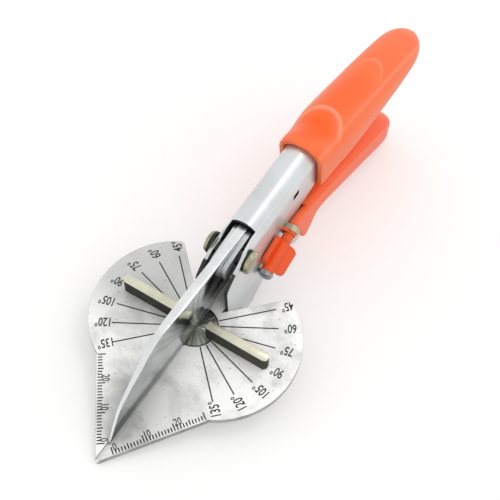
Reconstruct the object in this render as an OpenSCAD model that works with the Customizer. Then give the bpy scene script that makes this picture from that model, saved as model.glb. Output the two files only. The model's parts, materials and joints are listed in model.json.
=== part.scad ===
// Mitre shears: an anvil plate with an angle scale, a blade on a crossed lever, two handles and a side latch.
// Millimetres. The shears lie closed on a bench: +Z is up, +Y runs back along the handles, X is the pivot's axis.
// Sub-parts are drawn in the plate's own frame, whose origin is the centre of the angle scale on the plate's
// top face, and are then tipped by bench_tilt onto the bench.

/* [Anvil plate] */
// Thickness of the anvil plate
plate_t = 2.4; // [2:0.1:3.2]
// Distance from the scale's centre forward to where the plate's front edges would meet
tip_reach = 54.6; // [50:0.1:60]
// Radius of the plate's rounded tip
tip_r = 0.8; // [0.4:0.1:1.5]
// Radius of each round side lobe
lobe_r = 28.2; // [27.5:0.1:30]
// Sideways distance of each lobe's centre from the middle
lobe_shift = 8.5; // [7.5:0.1:9]
// Distance from the scale's centre forward to where the ruler edges meet the lobes
ruler_join = 25.3; // [24:0.1:26]
// Half width of the plate where the ruler edges meet the lobes
ruler_half = 21.4; // [20:0.1:22]
// Distance of each rear edge behind its 45 degree line
rear_margin = 2.75; // [2.2:0.05:3]
// Radius of the plate's rear corners
rear_corner_r = 2; // [1.5:0.1:3.5]
// Width of the groove under the blade's edge
groove_w = 1.4; // [1.2:0.1:2]
// Depth of the groove under the blade's edge
groove_d = 1; // [0.8:0.1:1.3]
// Radius of the round anvil insert
insert_r = 7.7; // [7:0.1:8]
// Thickness of the round anvil insert
insert_t = 1.7; // [1.5:0.1:1.9]
// Length along the bench of the block under the plate
block_l = 11.5; // [10:0.1:12.5]
// Radius of the rivets through the block
rivet_r = 1.75; // [1.5:0.05:2]
// Radius of a rivet's round head
rivet_head_r = 2.6; // [2.4:0.1:2.9]
// Height of a rivet's round head
rivet_head_h = 1.3; // [1:0.1:1.6]

/* [Fence bars] */
// Distance from the scale's centre to a bar's inner end
bar_inner = 5; // [4.5:0.1:5.5]
// Distance from the scale's centre to a bar's outer end
bar_outer = 27.8; // [26:0.1:29]
// Width of a bar
bar_w = 3.2; // [3:0.1:4]
// Height of a bar above the plate
bar_h = 6.5; // [5.5:0.1:8]
// Corner cut at a bar's outer end
bar_chamfer = 0.9; // [0.5:0.1:1.2]
// Distance of a bar's screws from its ends
bar_screw_inset = 5.2; // [5:0.1:6]
// Radius of a bar's screws
bar_screw_r = 1; // [0.8:0.05:1.1]
// Radius of a countersunk screw head
bar_screw_head_r = 2; // [1.8:0.05:2.2]
// Length of a bar's screws
bar_screw_l = 6; // [5:0.1:7]

/* [Frame] */
// Half width of the frame's channel
channel_half = 6.1; // [5.9:0.05:6.4]
// Thickness of the frame's sheet
frame_sheet = 1.2; // [1:0.05:1.3]
// Height of the channel's crown above the plate
channel_top = 23.6; // [23:0.1:24.5]
// Distance back from the scale's centre to the channel's mouth
mouth_y = 29.6; // [29:0.1:30.2]
// Half width of the slot ahead of the mouth
slot_half = 4.4; // [4.2:0.05:4.6]
// Distance back from the scale's centre to the side walls' front edge
wall_front = 9.9; // [9.7:0.1:10.3]
// Length of the short slot pierced in the right wall
wall_slot_l = 2.6; // [2:0.1:4]
// Width of the short slot pierced in the right wall
wall_slot_w = 0.9; // [0.6:0.1:1.4]
// Angle by which the handle's tang drops behind the bend
tang_drop = 12; // [11:0.1:13]
// Length of the tang inside the upper grip
tang_l = 48; // [40:0.5:50]

/* [Pivot] */
// Distance back from the scale's centre to the pivot
pivot_y = 21.6; // [21.2:0.1:22]
// Height of the pivot above the plate
pivot_z = 16.6; // [16.2:0.1:17]
// Radius of the pivot bolt's shank
pivot_r = 2.5; // [2.2:0.05:2.8]
// Radius of the pivot bolt's domed head
pivot_head_r = 4.1; // [3.8:0.1:4.4]
// Height of the pivot bolt's domed head
pivot_head_h = 1.6; // [1.4:0.1:2.2]
// Radius of the pivot's round nut
pivot_nut_r = 3.8; // [3.5:0.1:4.2]
// Height of the pivot's round nut
pivot_nut_h = 1.4; // [1.2:0.1:1.8]
// Radius of the pivot's outer washers
washer_r = 4; // [3.9:0.1:4.5]
// Thickness of the pivot's outer washers
washer_t = 1; // [0.6:0.05:1.3]
// Outer radius of the spacer rings beside the lever
spacer_r = 3; // [2.9:0.05:3.2]

/* [Blade and lever] */
// Thickness of the blade
blade_t = 3.2; // [2.8:0.1:3.4]
// Height of the blade's spine above the plate where the point begins
blade_h = 25.6; // [24:0.1:27]
// Distance from the scale's centre forward to the blade's tip
blade_reach = 47.8; // [45:0.1:49]
// Height of the ground bevel along the blade's edge
bevel_h = 5; // [4:0.1:7]
// Width of the flat left on the blade's edge
edge_flat = 0.3; // [0.2:0.05:0.4]
// Depth of the blade's edge below the plate's top face
edge_sink = 0.4; // [0.2:0.05:0.5]
// Distance from the scale's centre forward to where the blade begins to thin
taper_from = 6; // [2:0.5:12]
// Thickness of the blade at its tip
tip_t = 0.6; // [0.5:0.05:1]
// Thickness of the lever's sheet
lever_sheet = 1.5; // [1.3:0.05:1.6]
// Half width of the lever's handle channel
lever_half = 8.2; // [8.1:0.05:8.4]
// Radius of the screw behind the pivot that holds the blade
blade_screw_r = 1.5; // [1.3:0.05:1.8]
// Radius of the blade screw's head and nut
blade_head_r = 2.6; // [2.4:0.1:3]
// Height of the blade screw's head and nut
blade_head_h = 1; // [0.8:0.05:1.1]

/* [Return spring] */
// Outer radius of the return spring
spring_r = 3.5; // [3.2:0.05:3.7]
// Radius of the spring's wire
wire_r = 0.5; // [0.4:0.05:0.55]
// Turns of the return spring
spring_turns = 6; // [4:1:6]
// Radius of the spring seat
seat_r = 4.2; // [4:0.05:4.4]
// Thickness of the spring seat
seat_t = 1.2; // [1:0.1:1.6]

/* [Latch] */
// Length of the latch's wing and tab along its screw
latch_l = 10.6; // [9.5:0.1:11]
// Length of the bare barrel ahead of the wing and tab
barrel_lead = 1.4; // [1:0.1:1.8]
// Radius of the latch's barrel
barrel_r = 2.4; // [2.2:0.05:2.5]
// Length of the barrel's neck behind the latch
neck_l = 3.2; // [2.6:0.1:3.4]
// Radius of the barrel's neck
neck_r = 2; // [1.9:0.05:2.2]
// Corner radius of the latch's wing and tab
latch_corner = 2.4; // [1.5:0.1:3]
// Radius of the latch's screw
latch_screw_r = 1.3; // [1.2:0.05:1.4]
// Radius of the latch screw's pan head
latch_head_r = 2.7; // [2.5:0.05:2.7]
// Height of the latch screw's pan head
latch_head_h = 2.2; // [1.8:0.1:2.6]
// Height of the latch's wing above its screw
wing_h = 6.4; // [5.5:0.1:7]
// Reach of the latch's thumb tab outward from its screw
tab_reach = 5.5; // [5:0.1:6.2]
// Drop of the thumb tab's outer edge below its screw
tab_drop = 1.7; // [1.2:0.1:2.4]
// Thickness of the thumb tab
tab_t = 2.3; // [2:0.1:2.8]
// Width across the flats of the latch screw's nut
nut_flats = 4.8; // [4.4:0.1:5]
// Thickness of the latch screw's nut
nut_t = 2; // [1.8:0.1:2.2]

/* [Grips] */
// Thickness of the lower grip's coat outside the lever's sheet
coat_t = 0.7; // [0.6:0.05:1]
// Thickness of the lower grip's coat inside the lever's sheet
coat_inner = 0.3; // [0.25:0.05:0.35]
// Gap between the upper grip's lip and the frame
lip_gap = 0.8; // [0.4:0.05:0.9]
// Depth of the gap behind the upper grip's lip
lip_depth = 1.8; // [1:0.1:3]
// Depth of the thumb dent in the upper grip's top
thumb_dent = 1.7; // [1:0.1:2]
// Depth of the long palm dent in the upper grip's top
palm_dent = 0.6; // [0.3:0.1:0.8]
// Stations between two listed sections of the upper grip
upper_steps = 5; // [4:1:6]
// Stations between two listed sections of the lower grip
lower_steps = 3; // [2:1:4]

/* [Fits] */
// Clearance of a turning fit, on the radius
turn_gap = 0.05; // [0.03:0.01:0.08]
// Clearance of pieces that are fixed in each other
fixed_gap = 0.03; // [0.02:0.01:0.05]
// Side clearance between moving pieces
side_gap = 0.12; // [0.08:0.01:0.2]
// Clearance between the latch and the frame
latch_gap = 0.35; // [0.3:0.05:0.5]
// Tilt of the plate on the bench
bench_tilt = 12; // [11.5:0.1:12.5]

/* [Hidden] */
$fn = 48;
far = 90;
eps = 0.01;

// Heights of the bench in the plate's frame, and the move that lays the shears on it
tip_half = atan(ruler_half / (tip_reach - ruler_join));
tip_front = tip_reach - tip_r * (1 / sin(tip_half) - 1);
function bench(y) = -plate_t - tan(bench_tilt) * (y + tip_front);
bench_lift = tip_front * sin(bench_tilt) + plate_t * cos(bench_tilt);
function bench_y(p) = p.x * cos(bench_tilt) - p.y * sin(bench_tilt);

// Corner arcs: each outline point is [along, up, corner radius]
arc_steps = 5;
function unit(v) = v / norm(v);
function flat(p) = [p[0], p[1]];
function turn(a) = a > 180 ? a - 360 : (a < -180 ? a + 360 : a);
function corner(a, b, c, r) =
    let (u = unit(a - b), v = unit(c - b), half = acos(u * v) / 2)
    let (centre = b + unit(u + v) * r / sin(half))
    let (start = b + u * r / tan(half) - centre, end = b + v * r / tan(half) - centre)
    let (from = atan2(start.y, start.x), sweep = turn(atan2(end.y, end.x) - from))
    [for (i = [0:arc_steps]) centre + r * [cos(from + sweep * i / arc_steps), sin(from + sweep * i / arc_steps)]];
function rounded(pts) =
    let (n = len(pts))
    [for (i = [0:n - 1])
        each pts[i][2] > 0
            ? corner(flat(pts[(i + n - 1) % n]), flat(pts[i]), flat(pts[(i + 1) % n]), pts[i][2])
            : [flat(pts[i])]];

// Channel values
channel_mid = channel_top - channel_half;
channel_inner = channel_half - frame_sheet;
bend_y = 70;
lower_edge_bend = 5.1;
heel_y = 45;
belly_y = 33.5;
belly_z = -13.5;
foot_front = 11.5;
foot_rear = 25;
toe_round = 2;
heel_round = 3;
brow_drop = 4.5;
brow_round = 3;
cheek_ahead = 7.3;
cheek_drop = 0.4;
cheek_round = 5;
crown_over = 1;
waist_round = 9;
belly_round = 6;

// Side outline of the frame, from the foot up the front edge, back to the bend and along the lower edge
frame_outline = rounded([
    [foot_front, bench(foot_front), toe_round],
    [wall_front, pivot_z - brow_drop, brow_round],
    [pivot_y - cheek_ahead, pivot_z - cheek_drop, cheek_round],
    [mouth_y, channel_top - cheek_drop, 0],
    [mouth_y, channel_top + crown_over, 0],
    [bend_y, channel_top + crown_over, 0],
    [bend_y, lower_edge_bend, 0],
    [heel_y, 0, waist_round],
    [belly_y, belly_z, belly_round],
    [foot_rear, bench(foot_rear), heel_round]]);

// Side outline of the tang's walls, which drop behind the bend
tang_lap = 4;
tang_high = channel_mid - 1.5;
tang_low = lower_edge_bend + 1.5;
function tang_outline(more) =
    let (from = bend_y - tang_lap, to = bend_y + tang_l + more, drop = tan(tang_drop) * (tang_l + tang_lap + more))
    [[from, tang_high + more], [to, tang_high + more - drop], [to, tang_low - more - drop], [from, tang_low - more]];

// Cheeks, blade and handle of the lever
cheek_inner = blade_t / 2 + fixed_gap;
cheek_outer = cheek_inner + lever_sheet;
joggle_start = 46.6;
joggle_run = 6;
channel_start = joggle_start + joggle_run;
lever_end = 128;
ledge_back = 16.5;
ledge_y = pivot_y + ledge_back;
ledge_z = 7;
ledge_half = 4.6;
function ledge(y) = ledge_z - (y - ledge_y) * tan(bench_tilt);
neck_top = -0.9;

// Lower line of the lever from its handle's end forward to the neck below the pivot
web_front = 54;
web_line = [
    [lever_end, -34.6, 0],
    [92, -18.4, 30],
    [76, -11.6, 12],
    [63, -10.2, 8]];
neck_low = [52, -13.2, 6];
neck_front = [41, -11, 4];
web_reach = (web_front - neck_low.x) / (web_line[3].x - neck_low.x);
web_end = [web_front, neck_low.y + web_reach * (web_line[3].y - neck_low.y), 0];
lever_bottom = concat(web_line, [neck_low, neck_front]);
// Upper line of the lever from the pivot back to its handle's end; the cheek's corners lie about the pivot
cheek_front = [-8.9, 2.4, 3];
cheek_rear = [8, 4, 2.5];
cheek_chin = [5, -7.5, 4];
cheek_nose = [-7.5, -5.5, 3];
lever_top = [
    [pivot_y, pivot_z, 0] + cheek_front,
    [pivot_y, pivot_z, 0] + cheek_rear,
    [ledge_y - ledge_half, ledge(ledge_y - ledge_half), 1.2],
    [ledge_y + ledge_half, ledge(ledge_y + ledge_half), 1.2],
    [joggle_start - 2, neck_top, 1.2],
    [channel_start + 0.8, neck_top, 0.8],
    [channel_start + 1.6, 0.9, 0.8],
    [62, -0.4, 12],
    [72, -3.5, 12],
    [90, -9.7, 30],
    [lever_end, -25.3, 0]];
lever_nose = [
    [pivot_y, pivot_z, 0] + cheek_chin,
    [pivot_y, pivot_z, 0] + cheek_nose];
lever_outline = rounded(concat(lever_top, lever_bottom, lever_nose));
web_low = concat(web_line, [web_end]);
web_outline = rounded(concat(web_low,
    [for (i = [len(web_low) - 1:-1:0]) web_low[i] + [0, lever_sheet, 0]]));

// Plan outline of the lever's right cheek, stepping outward from the blade to the handle's channel
cheek_plan = rounded([
    [cheek_inner, 0, 0],
    [cheek_outer, 0, 0],
    [cheek_outer, joggle_start, 3],
    [lever_half, channel_start, 3],
    [lever_half, lever_end, 0],
    [lever_half - lever_sheet, lever_end, 0],
    [lever_half - lever_sheet, channel_start + lever_sheet / 2, 3],
    [cheek_inner, joggle_start + lever_sheet / 2, 3]]);

// Side outline of the blade, from its heel forward along the edge, round the point and back along the spine
heel_edge = 12;
heel_rise = 3.5;
heel_drop = 11;
blade_rear = 33;
tail_over = 4.8;
tail_under = 10.5;
tail_round = 1.5;
blade_round = 3;
point_back = 7.4;
point_h = 13;
spine_ahead = 20.5;
spine_round = 14;
blade_outline = rounded([
    [heel_edge, -edge_sink, 0],
    [-blade_reach, -edge_sink, 0],
    [-blade_reach + point_back, point_h, spine_round],
    [-spine_ahead, blade_h, spine_round],
    [blade_rear, pivot_z + tail_over, tail_round],
    [blade_rear, pivot_z - tail_under, blade_round],
    [heel_edge + heel_rise, pivot_z - heel_drop, blade_round]]);
blade_screw_y = pivot_y + 8.4;
blade_screw_z = pivot_z - 3;

// Latch axis: it rises to the rear beside the right wall
latch_x = channel_half + latch_gap + barrel_r;
latch_y = 30.8;
latch_z = -1.4;
latch_rise = 15.6;
lug_t = 1.2;
lug_r = 2.2;
thread_end = 0.5;
barrel_l = barrel_lead + latch_l + neck_l;
lug_at = barrel_l + side_gap;
latch_screw_l = lug_at + lug_t + nut_t + thread_end;
wing_t = 1.5;

// Rivets through the walls and the block
rivet_front = [13.5, -8.2];
rivet_rear = [17.6, -14];

// Sections of the grips: [top point, bottom point, half width, top corner, bottom corner]
// The upper grip's points are measured from the channel's crown at the bend
upper_sections = [
    [[-5, 1.2], [-1.4, -20.4], 8, 6.6, 2.4],
    [[-4.2, 1.8], [-0.6, -21], 8.6, 7.2, 3],
    [[2.5, 1], [5, -22.4], 9.2, 7.8, 5],
    [[10, -0.4], [11.5, -23.4], 9.8, 8.6, 7],
    [[18, -1.3], [18, -24.7], 10.3, 9.4, 8],
    [[32, -4.2], [30.6, -26.6], 10.3, 9.6, 8.5],
    [[50, -8.8], [47, -29.4], 9.9, 9.4, 8.6],
    [[67, -13.2], [64, -31.6], 9.4, 9, 8.6],
    [[78.5, -17], [76, -32.4], 8.5, 7.7, 7.7],
    [[85, -20.6], [83, -31.2], 6.3, 5.3, 5.3],
    [[88, -23], [86.8, -28], 2.8, 2.4, 2.4]];
// How far the sides of a ring lead its top, by station; both are counted in listed sections
upper_lead = [[0, 0], [1, 0], [2, 0.5], [3, 1], [4, 1.1], [5, 0.6], [6, 0.33], [8, 0.2], [9, 0]];
// Dents in the upper grip's top: distances of the rear rim and of the front end behind the bend
thumb_span = [16.6, 0.5];
palm_span = [52.4, 22];
lower_half = lever_half + coat_t;
lower_sections = [
    [[49.6, 2.6], [58.4, -16.6], lower_half - 0.8, 1.2, 4],
    [[50.6, 3.1], [60.4, -18.8], lower_half, 1.2, 4.2],
    [[55.4, 2.5], [64, -17.4], lower_half, 1.2, 4.2],
    [[62, 0.9], [68.4, -12.8], lower_half, 1.2, 4],
    [[72, -2.2], [76.5, -14.8], lower_half, 1.2, 4],
    [[90, -8.4], [92, -21.7], lower_half, 1.2, 4.2],
    [[112, -17], [113, -30.7], lower_half, 1.4, 4.6],
    [[128, -23.8], [128, -38.4], lower_half - 0.3, 2, 5],
    [[135.4, -27.6], [134.6, -42.6], lower_half - 1.4, 3, 5],
    [[139.8, -31.6], [138.8, -41.8], lower_half - 4, 3, 3]];

// One closed ring of a grip, counted round from its lower right corner, with its top pressed in by a dent
ring_steps = 8;
ring_points = 4 * (ring_steps + 1);
function ring(section, dent = 0) =
    let (top = section[0], bottom = section[1], half = section[2], high = norm(top - bottom))
    let (up = unit(top - bottom), r_top = min(section[3], half, high / 2), r_low = min(section[4], half, high / 2))
    let (low = [for (i = [0:ring_steps]) let (a = -90 + 90 * i / ring_steps)
        [half - r_low + r_low * cos(a), r_low + r_low * sin(a)]])
    let (upper = [for (i = [0:ring_steps]) let (a = 90 * i / ring_steps, r = r_top - dent * sin(a))
        [half - r_top + r * cos(a), high - r_top + r * sin(a)]])
    let (right = concat(low, upper))
    let (left = [for (i = [len(right) - 1:-1:0]) [-right[i].x, right[i].y]])
    [for (p = concat(right, left)) let (at = bottom + up * p.y) [p.x, at.x, at.y]];

// Smooth sections between the listed ones
function smooth(a, b, c, d, t) =
    0.5 * (2 * b + (c - a) * t + (2 * a - 5 * b + 4 * c - d) * t * t + (3 * b - a - 3 * c + d) * t * t * t);
function between(list, i, t) =
    let (last = len(list) - 1)
    let (a = list[max(i - 1, 0)], b = list[i], c = list[min(i + 1, last)], d = list[min(i + 2, last)])
    [for (k = [0:4]) smooth(a[k], b[k], c[k], d[k], t)];
function section_at(list, u) =
    let (i = min(floor(u), len(list) - 2))
    between(list, i, u - i);
function stations(list, steps) = [for (s = [0:(len(list) - 1) * steps]) s / steps];

// Depth of a dent at a distance behind the bend: steep at the rear rim and fading forward
function dent_depth(span, depth, y) =
    let (t = (span[0] - y) / (span[0] - span[1]))
    t <= 0 || t >= 1 ? 0 : depth * sin(180 * pow(t, 0.7));
function side_share(k) =
    let (i = min(k, ring_points - 1 - k) - ring_steps - 1)
    i <= 0 ? 1 : pow(cos(90 * i / ring_steps), 2);
function upper_ring(u) =
    let (y = section_at(upper_sections, u)[0].x, lead = lookup(u, upper_lead))
    let (dent = dent_depth(thumb_span, thumb_dent, y) + dent_depth(palm_span, palm_dent, y))
    [for (k = [0:ring_points - 1])
        ring(section_at(upper_sections, u - lead * side_share(k)), dent)[k] + [0, bend_y, channel_top]];
upper_rings = [for (u = stations(upper_sections, upper_steps)) upper_ring(u)];
lower_rings = [for (u = stations(lower_sections, lower_steps)) ring(section_at(lower_sections, u))];

// Middle of the shears along the bench, between the plate's tip and the upper grip's end
bench_front = bench_y([-tip_front, -groove_d]);
bench_rear = max([for (r = upper_rings) for (p = r) bench_y([p.y, p.z])]);
bench_mid = (bench_front + bench_rear) / 2;

// Return spring, upright on the bench between its seat and the channel's crown
wire_path_r = spring_r - wire_r;
spring_low = seat_t + wire_r + side_gap;
crown_z = channel_mid + sqrt(pow(channel_inner, 2) - pow(spring_r, 2));
spring_l = (crown_z - ledge_z) / cos(bench_tilt) - seat_t - 2 * wire_r - 5 * side_gap;
rings_per_turn = 8;
wire_sides = 6;
spring_rings = spring_turns * rings_per_turn;
function coil_point(i) =
    let (a = 360 * i / rings_per_turn)
    [wire_path_r * cos(a), wire_path_r * sin(a), spring_low + spring_l * i / spring_rings];
function coil_ring(i) =
    let (a = 360 * i / rings_per_turn, rise = spring_l / spring_turns / (2 * PI * wire_path_r))
    let (out = [cos(a), sin(a), 0], along = unit([-sin(a), cos(a), rise]), up = cross(out, along))
    [for (k = [0:wire_sides - 1]) let (w = 360 * k / wire_sides)
        coil_point(i) + wire_r * (cos(w) * out - sin(w) * up)];
coil_points = [for (i = [0:spring_rings]) coil_point(i)];
coil_gap = min([for (i = [0:spring_rings - rings_per_turn]) for (k = [-1:1])
    let (j = min(i + rings_per_turn + k, spring_rings))
    if (j - i > rings_per_turn / 2) norm(coil_points[j] - coil_points[i])]) - 2 * wire_r;
echo(least_gap_between_spring_turns = coil_gap);

// Skin over a list of rings, closed by a fan at each end
module skin(list) {
    n = len(list[0]);
    count = len(list);
    sides = [for (r = [0:count - 2]) for (i = [0:n - 1])
        let (a = r * n + i, b = r * n + (i + 1) % n)
        each [[a, b, b + n], [a, b + n, a + n]]];
    front = [for (i = [1:n - 2]) [0, i + 1, i]];
    last = (count - 1) * n;
    back = [for (i = [1:n - 2]) [last, last + i, last + i + 1]];
    polyhedron(points = [for (r = list) each r], faces = concat(front, sides, back));
}

// Lays a sub-part of the plate's frame on the bench
module laid() {
    translate([0, -bench_mid, bench_lift])
        rotate([bench_tilt, 0, 0])
            children();
}

// Slab of a side outline between two distances from the middle
module slab(outline, from, to) {
    translate([from, 0, 0])
        rotate([90, 0, 90])
            linear_extrude(to - from)
                polygon(outline);
}

// Round rod across the shears, centred on a side point
module cross_rod(at, r, from, to) {
    translate([from, at.x, at.y])
        rotate([0, 90, 0])
            cylinder(r = r, h = to - from);
}

// Turned piece across the shears: the profile is [radius, distance from the middle]
module cross_turned(at, profile) {
    translate([0, at.x, at.y])
        rotate([0, 90, 0])
            rotate_extrude()
                polygon(profile);
}

module both_sides() {
    children();
    mirror([1, 0, 0])
        children();
}

// Rounded channel section, open below, about its own crown centre
module channel_section(half, depth) {
    circle(r = half);
    translate([-half, -depth])
        square([2 * half, depth]);
}

// Channel along +Y from one distance to another, crown centre at height z
module channel_bar(half, depth, from, to, z) {
    translate([0, to, z])
        rotate([90, 0, 0])
            linear_extrude(to - from)
                channel_section(half, depth);
}

pivot = [pivot_y, pivot_z];
blade_screw_at = [blade_screw_y, blade_screw_z];

// The straight part of the frame inside an outer half width
module straight_channel(half) {
    intersection() {
        channel_bar(half, far, 0, bend_y, channel_mid);
        slab(frame_outline, -half, half);
    }
}

// The two flat walls of the tang, which run on from the channel inside the upper grip
module tang_walls(more) {
    both_sides()
        slab(tang_outline(more), channel_inner - more, channel_half + more);
}

// Frame of the latch: the screw's head end is the origin and the screw runs along +Y
module latch_frame() {
    translate([latch_x, latch_y, latch_z])
        rotate([latch_rise, 0, 0])
            children();
}

module rod_along(r, from, to) {
    translate([0, from, 0])
        rotate([-90, 0, 0])
            cylinder(r = r, h = to - from);
}

module latch_lug() {
    latch_frame() {
        rod_along(lug_r, lug_at, lug_at + lug_t);
        translate([channel_half - frame_sheet / 2 - latch_x, lug_at, -lug_r])
            cube([latch_x - channel_half + frame_sheet / 2, lug_t, 2 * lug_r]);
    }
}

module frame() {
    color("silver")
        laid()
            difference() {
                union() {
                    difference() {
                        straight_channel(channel_half);
                        channel_bar(channel_inner, far, -eps, far, channel_mid);
                    }
                    tang_walls(0);
                    latch_lug();
                }
                translate([-slot_half, 0, channel_mid])
                    cube([2 * slot_half, mouth_y, far]);
                cross_rod(pivot, pivot_r + fixed_gap, -far, far);
                cross_rod(rivet_front, rivet_r + fixed_gap, -far, far);
                cross_rod(rivet_rear, rivet_r + fixed_gap, -far, far);
                wall_slot();
                latch_frame()
                    rod_along(latch_screw_r + fixed_gap, 0, latch_screw_l);
            }
}

// Short slot along the right wall, ahead of the grip
wall_slot_at = [53.6, 14.8];
module wall_slot() {
    translate([0, wall_slot_at.x, wall_slot_at.y])
        rotate([0, 90, 0])
            linear_extrude(far)
                square([wall_slot_w, wall_slot_l], center = true);
}

// Shallow recess that parts the grip's lip from the frame
lip_over = 2;
lip_top = upper_sections[0][0] + [bend_y, channel_top];
lip_low = upper_sections[0][1] + [bend_y, channel_top];
module lip_recess() {
    intersection() {
        straight_channel(channel_half + lip_gap);
        slab([[0, far], lip_top + [lip_depth, lip_over], lip_low + [lip_depth, -lip_over], [0, -far]], -far, far);
    }
}

module upper_grip() {
    color("orangered")
        laid()
            difference() {
                skin(upper_rings);
                straight_channel(channel_half + fixed_gap);
                lip_recess();
                tang_walls(fixed_gap);
            }
}

// Round corner where a lobe meets its rear edge: centre, touch point on the edge and on the lobe
lobe_at = [lobe_shift, 0];
corner_v = rear_corner_r - rear_margin;
corner_u = lobe_shift * sqrt(0.5)
    + sqrt(pow(lobe_r - rear_corner_r, 2) - pow(lobe_shift * sqrt(0.5) - corner_v, 2));
corner_at = [corner_u + corner_v, corner_u - corner_v] * sqrt(0.5);
edge_touch = [corner_u - rear_margin, corner_u + rear_margin] * sqrt(0.5);
lobe_touch = lobe_at + lobe_r * unit(corner_at - lobe_at);
corner_out = edge_touch + lobe_touch - corner_at;

module lobe() {
    difference() {
        intersection() {
            translate(lobe_at)
                circle(r = lobe_r, $fn = 96);
            rotate(45)
                translate([-far, -far])
                    square([2 * far, far + rear_margin]);
        }
        difference() {
            polygon([corner_at, edge_touch, 2 * corner_out - corner_at, lobe_touch]);
            translate(corner_at)
                circle(r = rear_corner_r);
        }
    }
}

block_half = channel_inner - fixed_gap;
block_front = foot_front - 1;
block_rear = block_front + block_l;

module plate_outline() {
    lobe();
    mirror([1, 0])
        lobe();
    polygon(rounded([[0, -tip_reach, tip_r], [ruler_half, -ruler_join, 0], [-ruler_half, -ruler_join, 0]]));
    translate([-block_half, 0])
        square([2 * block_half, block_rear]);
}

bar_screws = [bar_inner + bar_screw_inset, bar_outer - bar_screw_inset];

// Countersunk screw standing on its head, from its profile
module screw_shape(r, head_r, length, gap) {
    cone = head_r - r;
    rotate_extrude()
        polygon([[0, -gap], [head_r + gap, -gap], [r + gap, cone], [r + gap, length + gap], [0, length + gap]]);
}

module bar_screw_at(x, gap) {
    translate([x, 0, -plate_t])
        screw_shape(bar_screw_r, bar_screw_head_r, bar_screw_l, gap);
}

module blade_groove() {
    translate([-groove_w / 2, -tip_reach - eps, -groove_d])
        cube([groove_w, tip_reach + block_rear + 2 * eps, far]);
}

module base_plate() {
    color("gainsboro")
        laid()
            difference() {
                union() {
                    translate([0, 0, -plate_t])
                        linear_extrude(plate_t)
                            plate_outline();
                    slab([[block_front, 0], [block_front, bench(block_front)],
                            [block_rear, bench(block_rear)], [block_rear, 0]],
                        -block_half, block_half);
                }
                translate([0, 0, -insert_t])
                    cylinder(r = insert_r + fixed_gap, h = far);
                blade_groove();
                both_sides()
                    for (x = bar_screws)
                        bar_screw_at(x, fixed_gap);
                cross_rod(rivet_front, rivet_r + fixed_gap, -far, far);
                cross_rod(rivet_rear, rivet_r + fixed_gap, -far, far);
            }
}

module anvil_insert() {
    color("darkseagreen")
        laid()
            difference() {
                translate([0, 0, -insert_t])
                    cylinder(r = insert_r, h = insert_t);
                blade_groove();
            }
}

module fence_bar() {
    difference() {
        linear_extrude(bar_h)
            polygon([[bar_inner, -bar_w / 2],
                [bar_outer - bar_chamfer, -bar_w / 2],
                [bar_outer, bar_chamfer - bar_w / 2],
                [bar_outer, bar_w / 2 - bar_chamfer],
                [bar_outer - bar_chamfer, bar_w / 2],
                [bar_inner, bar_w / 2]]);
        for (x = bar_screws)
            bar_screw_at(x, fixed_gap);
    }
}

module fence_bar_right() {
    color("wheat")
        laid()
            fence_bar();
}

module fence_bar_left() {
    color("wheat")
        laid()
            mirror([1, 0, 0])
                fence_bar();
}

module fence_screw(x) {
    color("dimgray")
        laid()
            bar_screw_at(x, 0);
}

// Domed button on a flat seat: radius, height, seat distance and shank
module dome_profile(r, h, seat) {
    round_r = h * 0.7;
    translate([0, seat])
        intersection() {
            square([r, h]);
            union() {
                square([r, h - round_r]);
                translate([r - round_r, h - round_r])
                    circle(r = round_r);
                square([r - round_r, h]);
            }
        }
}

module plate_rivet(at) {
    color("silver")
        laid()
            translate([0, at.x, at.y])
                rotate([0, 90, 0])
                    rotate_extrude() {
                        translate([0, -channel_half])
                            square([rivet_r, 2 * channel_half]);
                        dome_profile(rivet_head_r, rivet_head_h, channel_half);
                        mirror([0, 1])
                            dome_profile(rivet_head_r, rivet_head_h, channel_half);
                    }
}

head_seat = channel_half + washer_t;
nut_thread = pivot_nut_h * 0.6;

module pivot_bolt() {
    color("wheat")
        laid()
            translate([0, pivot.x, pivot.y])
                rotate([0, 90, 0])
                    rotate_extrude() {
                        translate([0, -head_seat - nut_thread])
                            square([pivot_r, 2 * head_seat + nut_thread]);
                        dome_profile(pivot_head_r, pivot_head_h, head_seat);
                    }
}

module pivot_nut() {
    color("wheat")
        laid()
            translate([0, pivot.x, pivot.y])
                rotate([0, -90, 0])
                    rotate_extrude()
                        difference() {
                            dome_profile(pivot_nut_r, pivot_nut_h, head_seat);
                            square([pivot_r + fixed_gap, head_seat + nut_thread + fixed_gap]);
                        }
}

// Ring round the pivot between two distances to one side
module pivot_ring(r, from, to) {
    cross_turned(pivot, [[pivot_r + fixed_gap, from], [r, from], [r, to], [pivot_r + fixed_gap, to]]);
}

module pivot_washer_right() {
    color("dimgray")
        laid()
            pivot_ring(washer_r, channel_half, head_seat);
}

module pivot_washer_left() {
    color("dimgray")
        laid()
            pivot_ring(washer_r, -head_seat, -channel_half);
}

// Spacer ring between a cheek of the lever and the channel, cut to the round of the channel's inside
module pivot_spacer(from, to) {
    color("darkgray")
        laid()
            intersection() {
                pivot_ring(spacer_r, from, to);
                channel_bar(channel_inner - fixed_gap, far, 0, far, channel_mid);
            }
}

module pivot_spacer_right() {
    pivot_spacer(cheek_outer + side_gap, channel_inner);
}

module pivot_spacer_left() {
    pivot_spacer(-channel_inner, -cheek_outer - side_gap);
}

// Upright frame on the spring seat's ledge
module spring_frame() {
    translate([0, ledge_y, ledge_z])
        rotate([-bench_tilt, 0, 0])
            children();
}

module return_spring() {
    color("slategray")
        laid()
            spring_frame()
                skin([for (i = [0:spring_rings]) coil_ring(i)]);
}

module spring_seat() {
    color("dimgray")
        laid()
            spring_frame() {
                cylinder(r = seat_r, h = seat_t);
                cylinder(r = wire_path_r - wire_r - side_gap * 3, h = seat_t * 2);
            }
}

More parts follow.
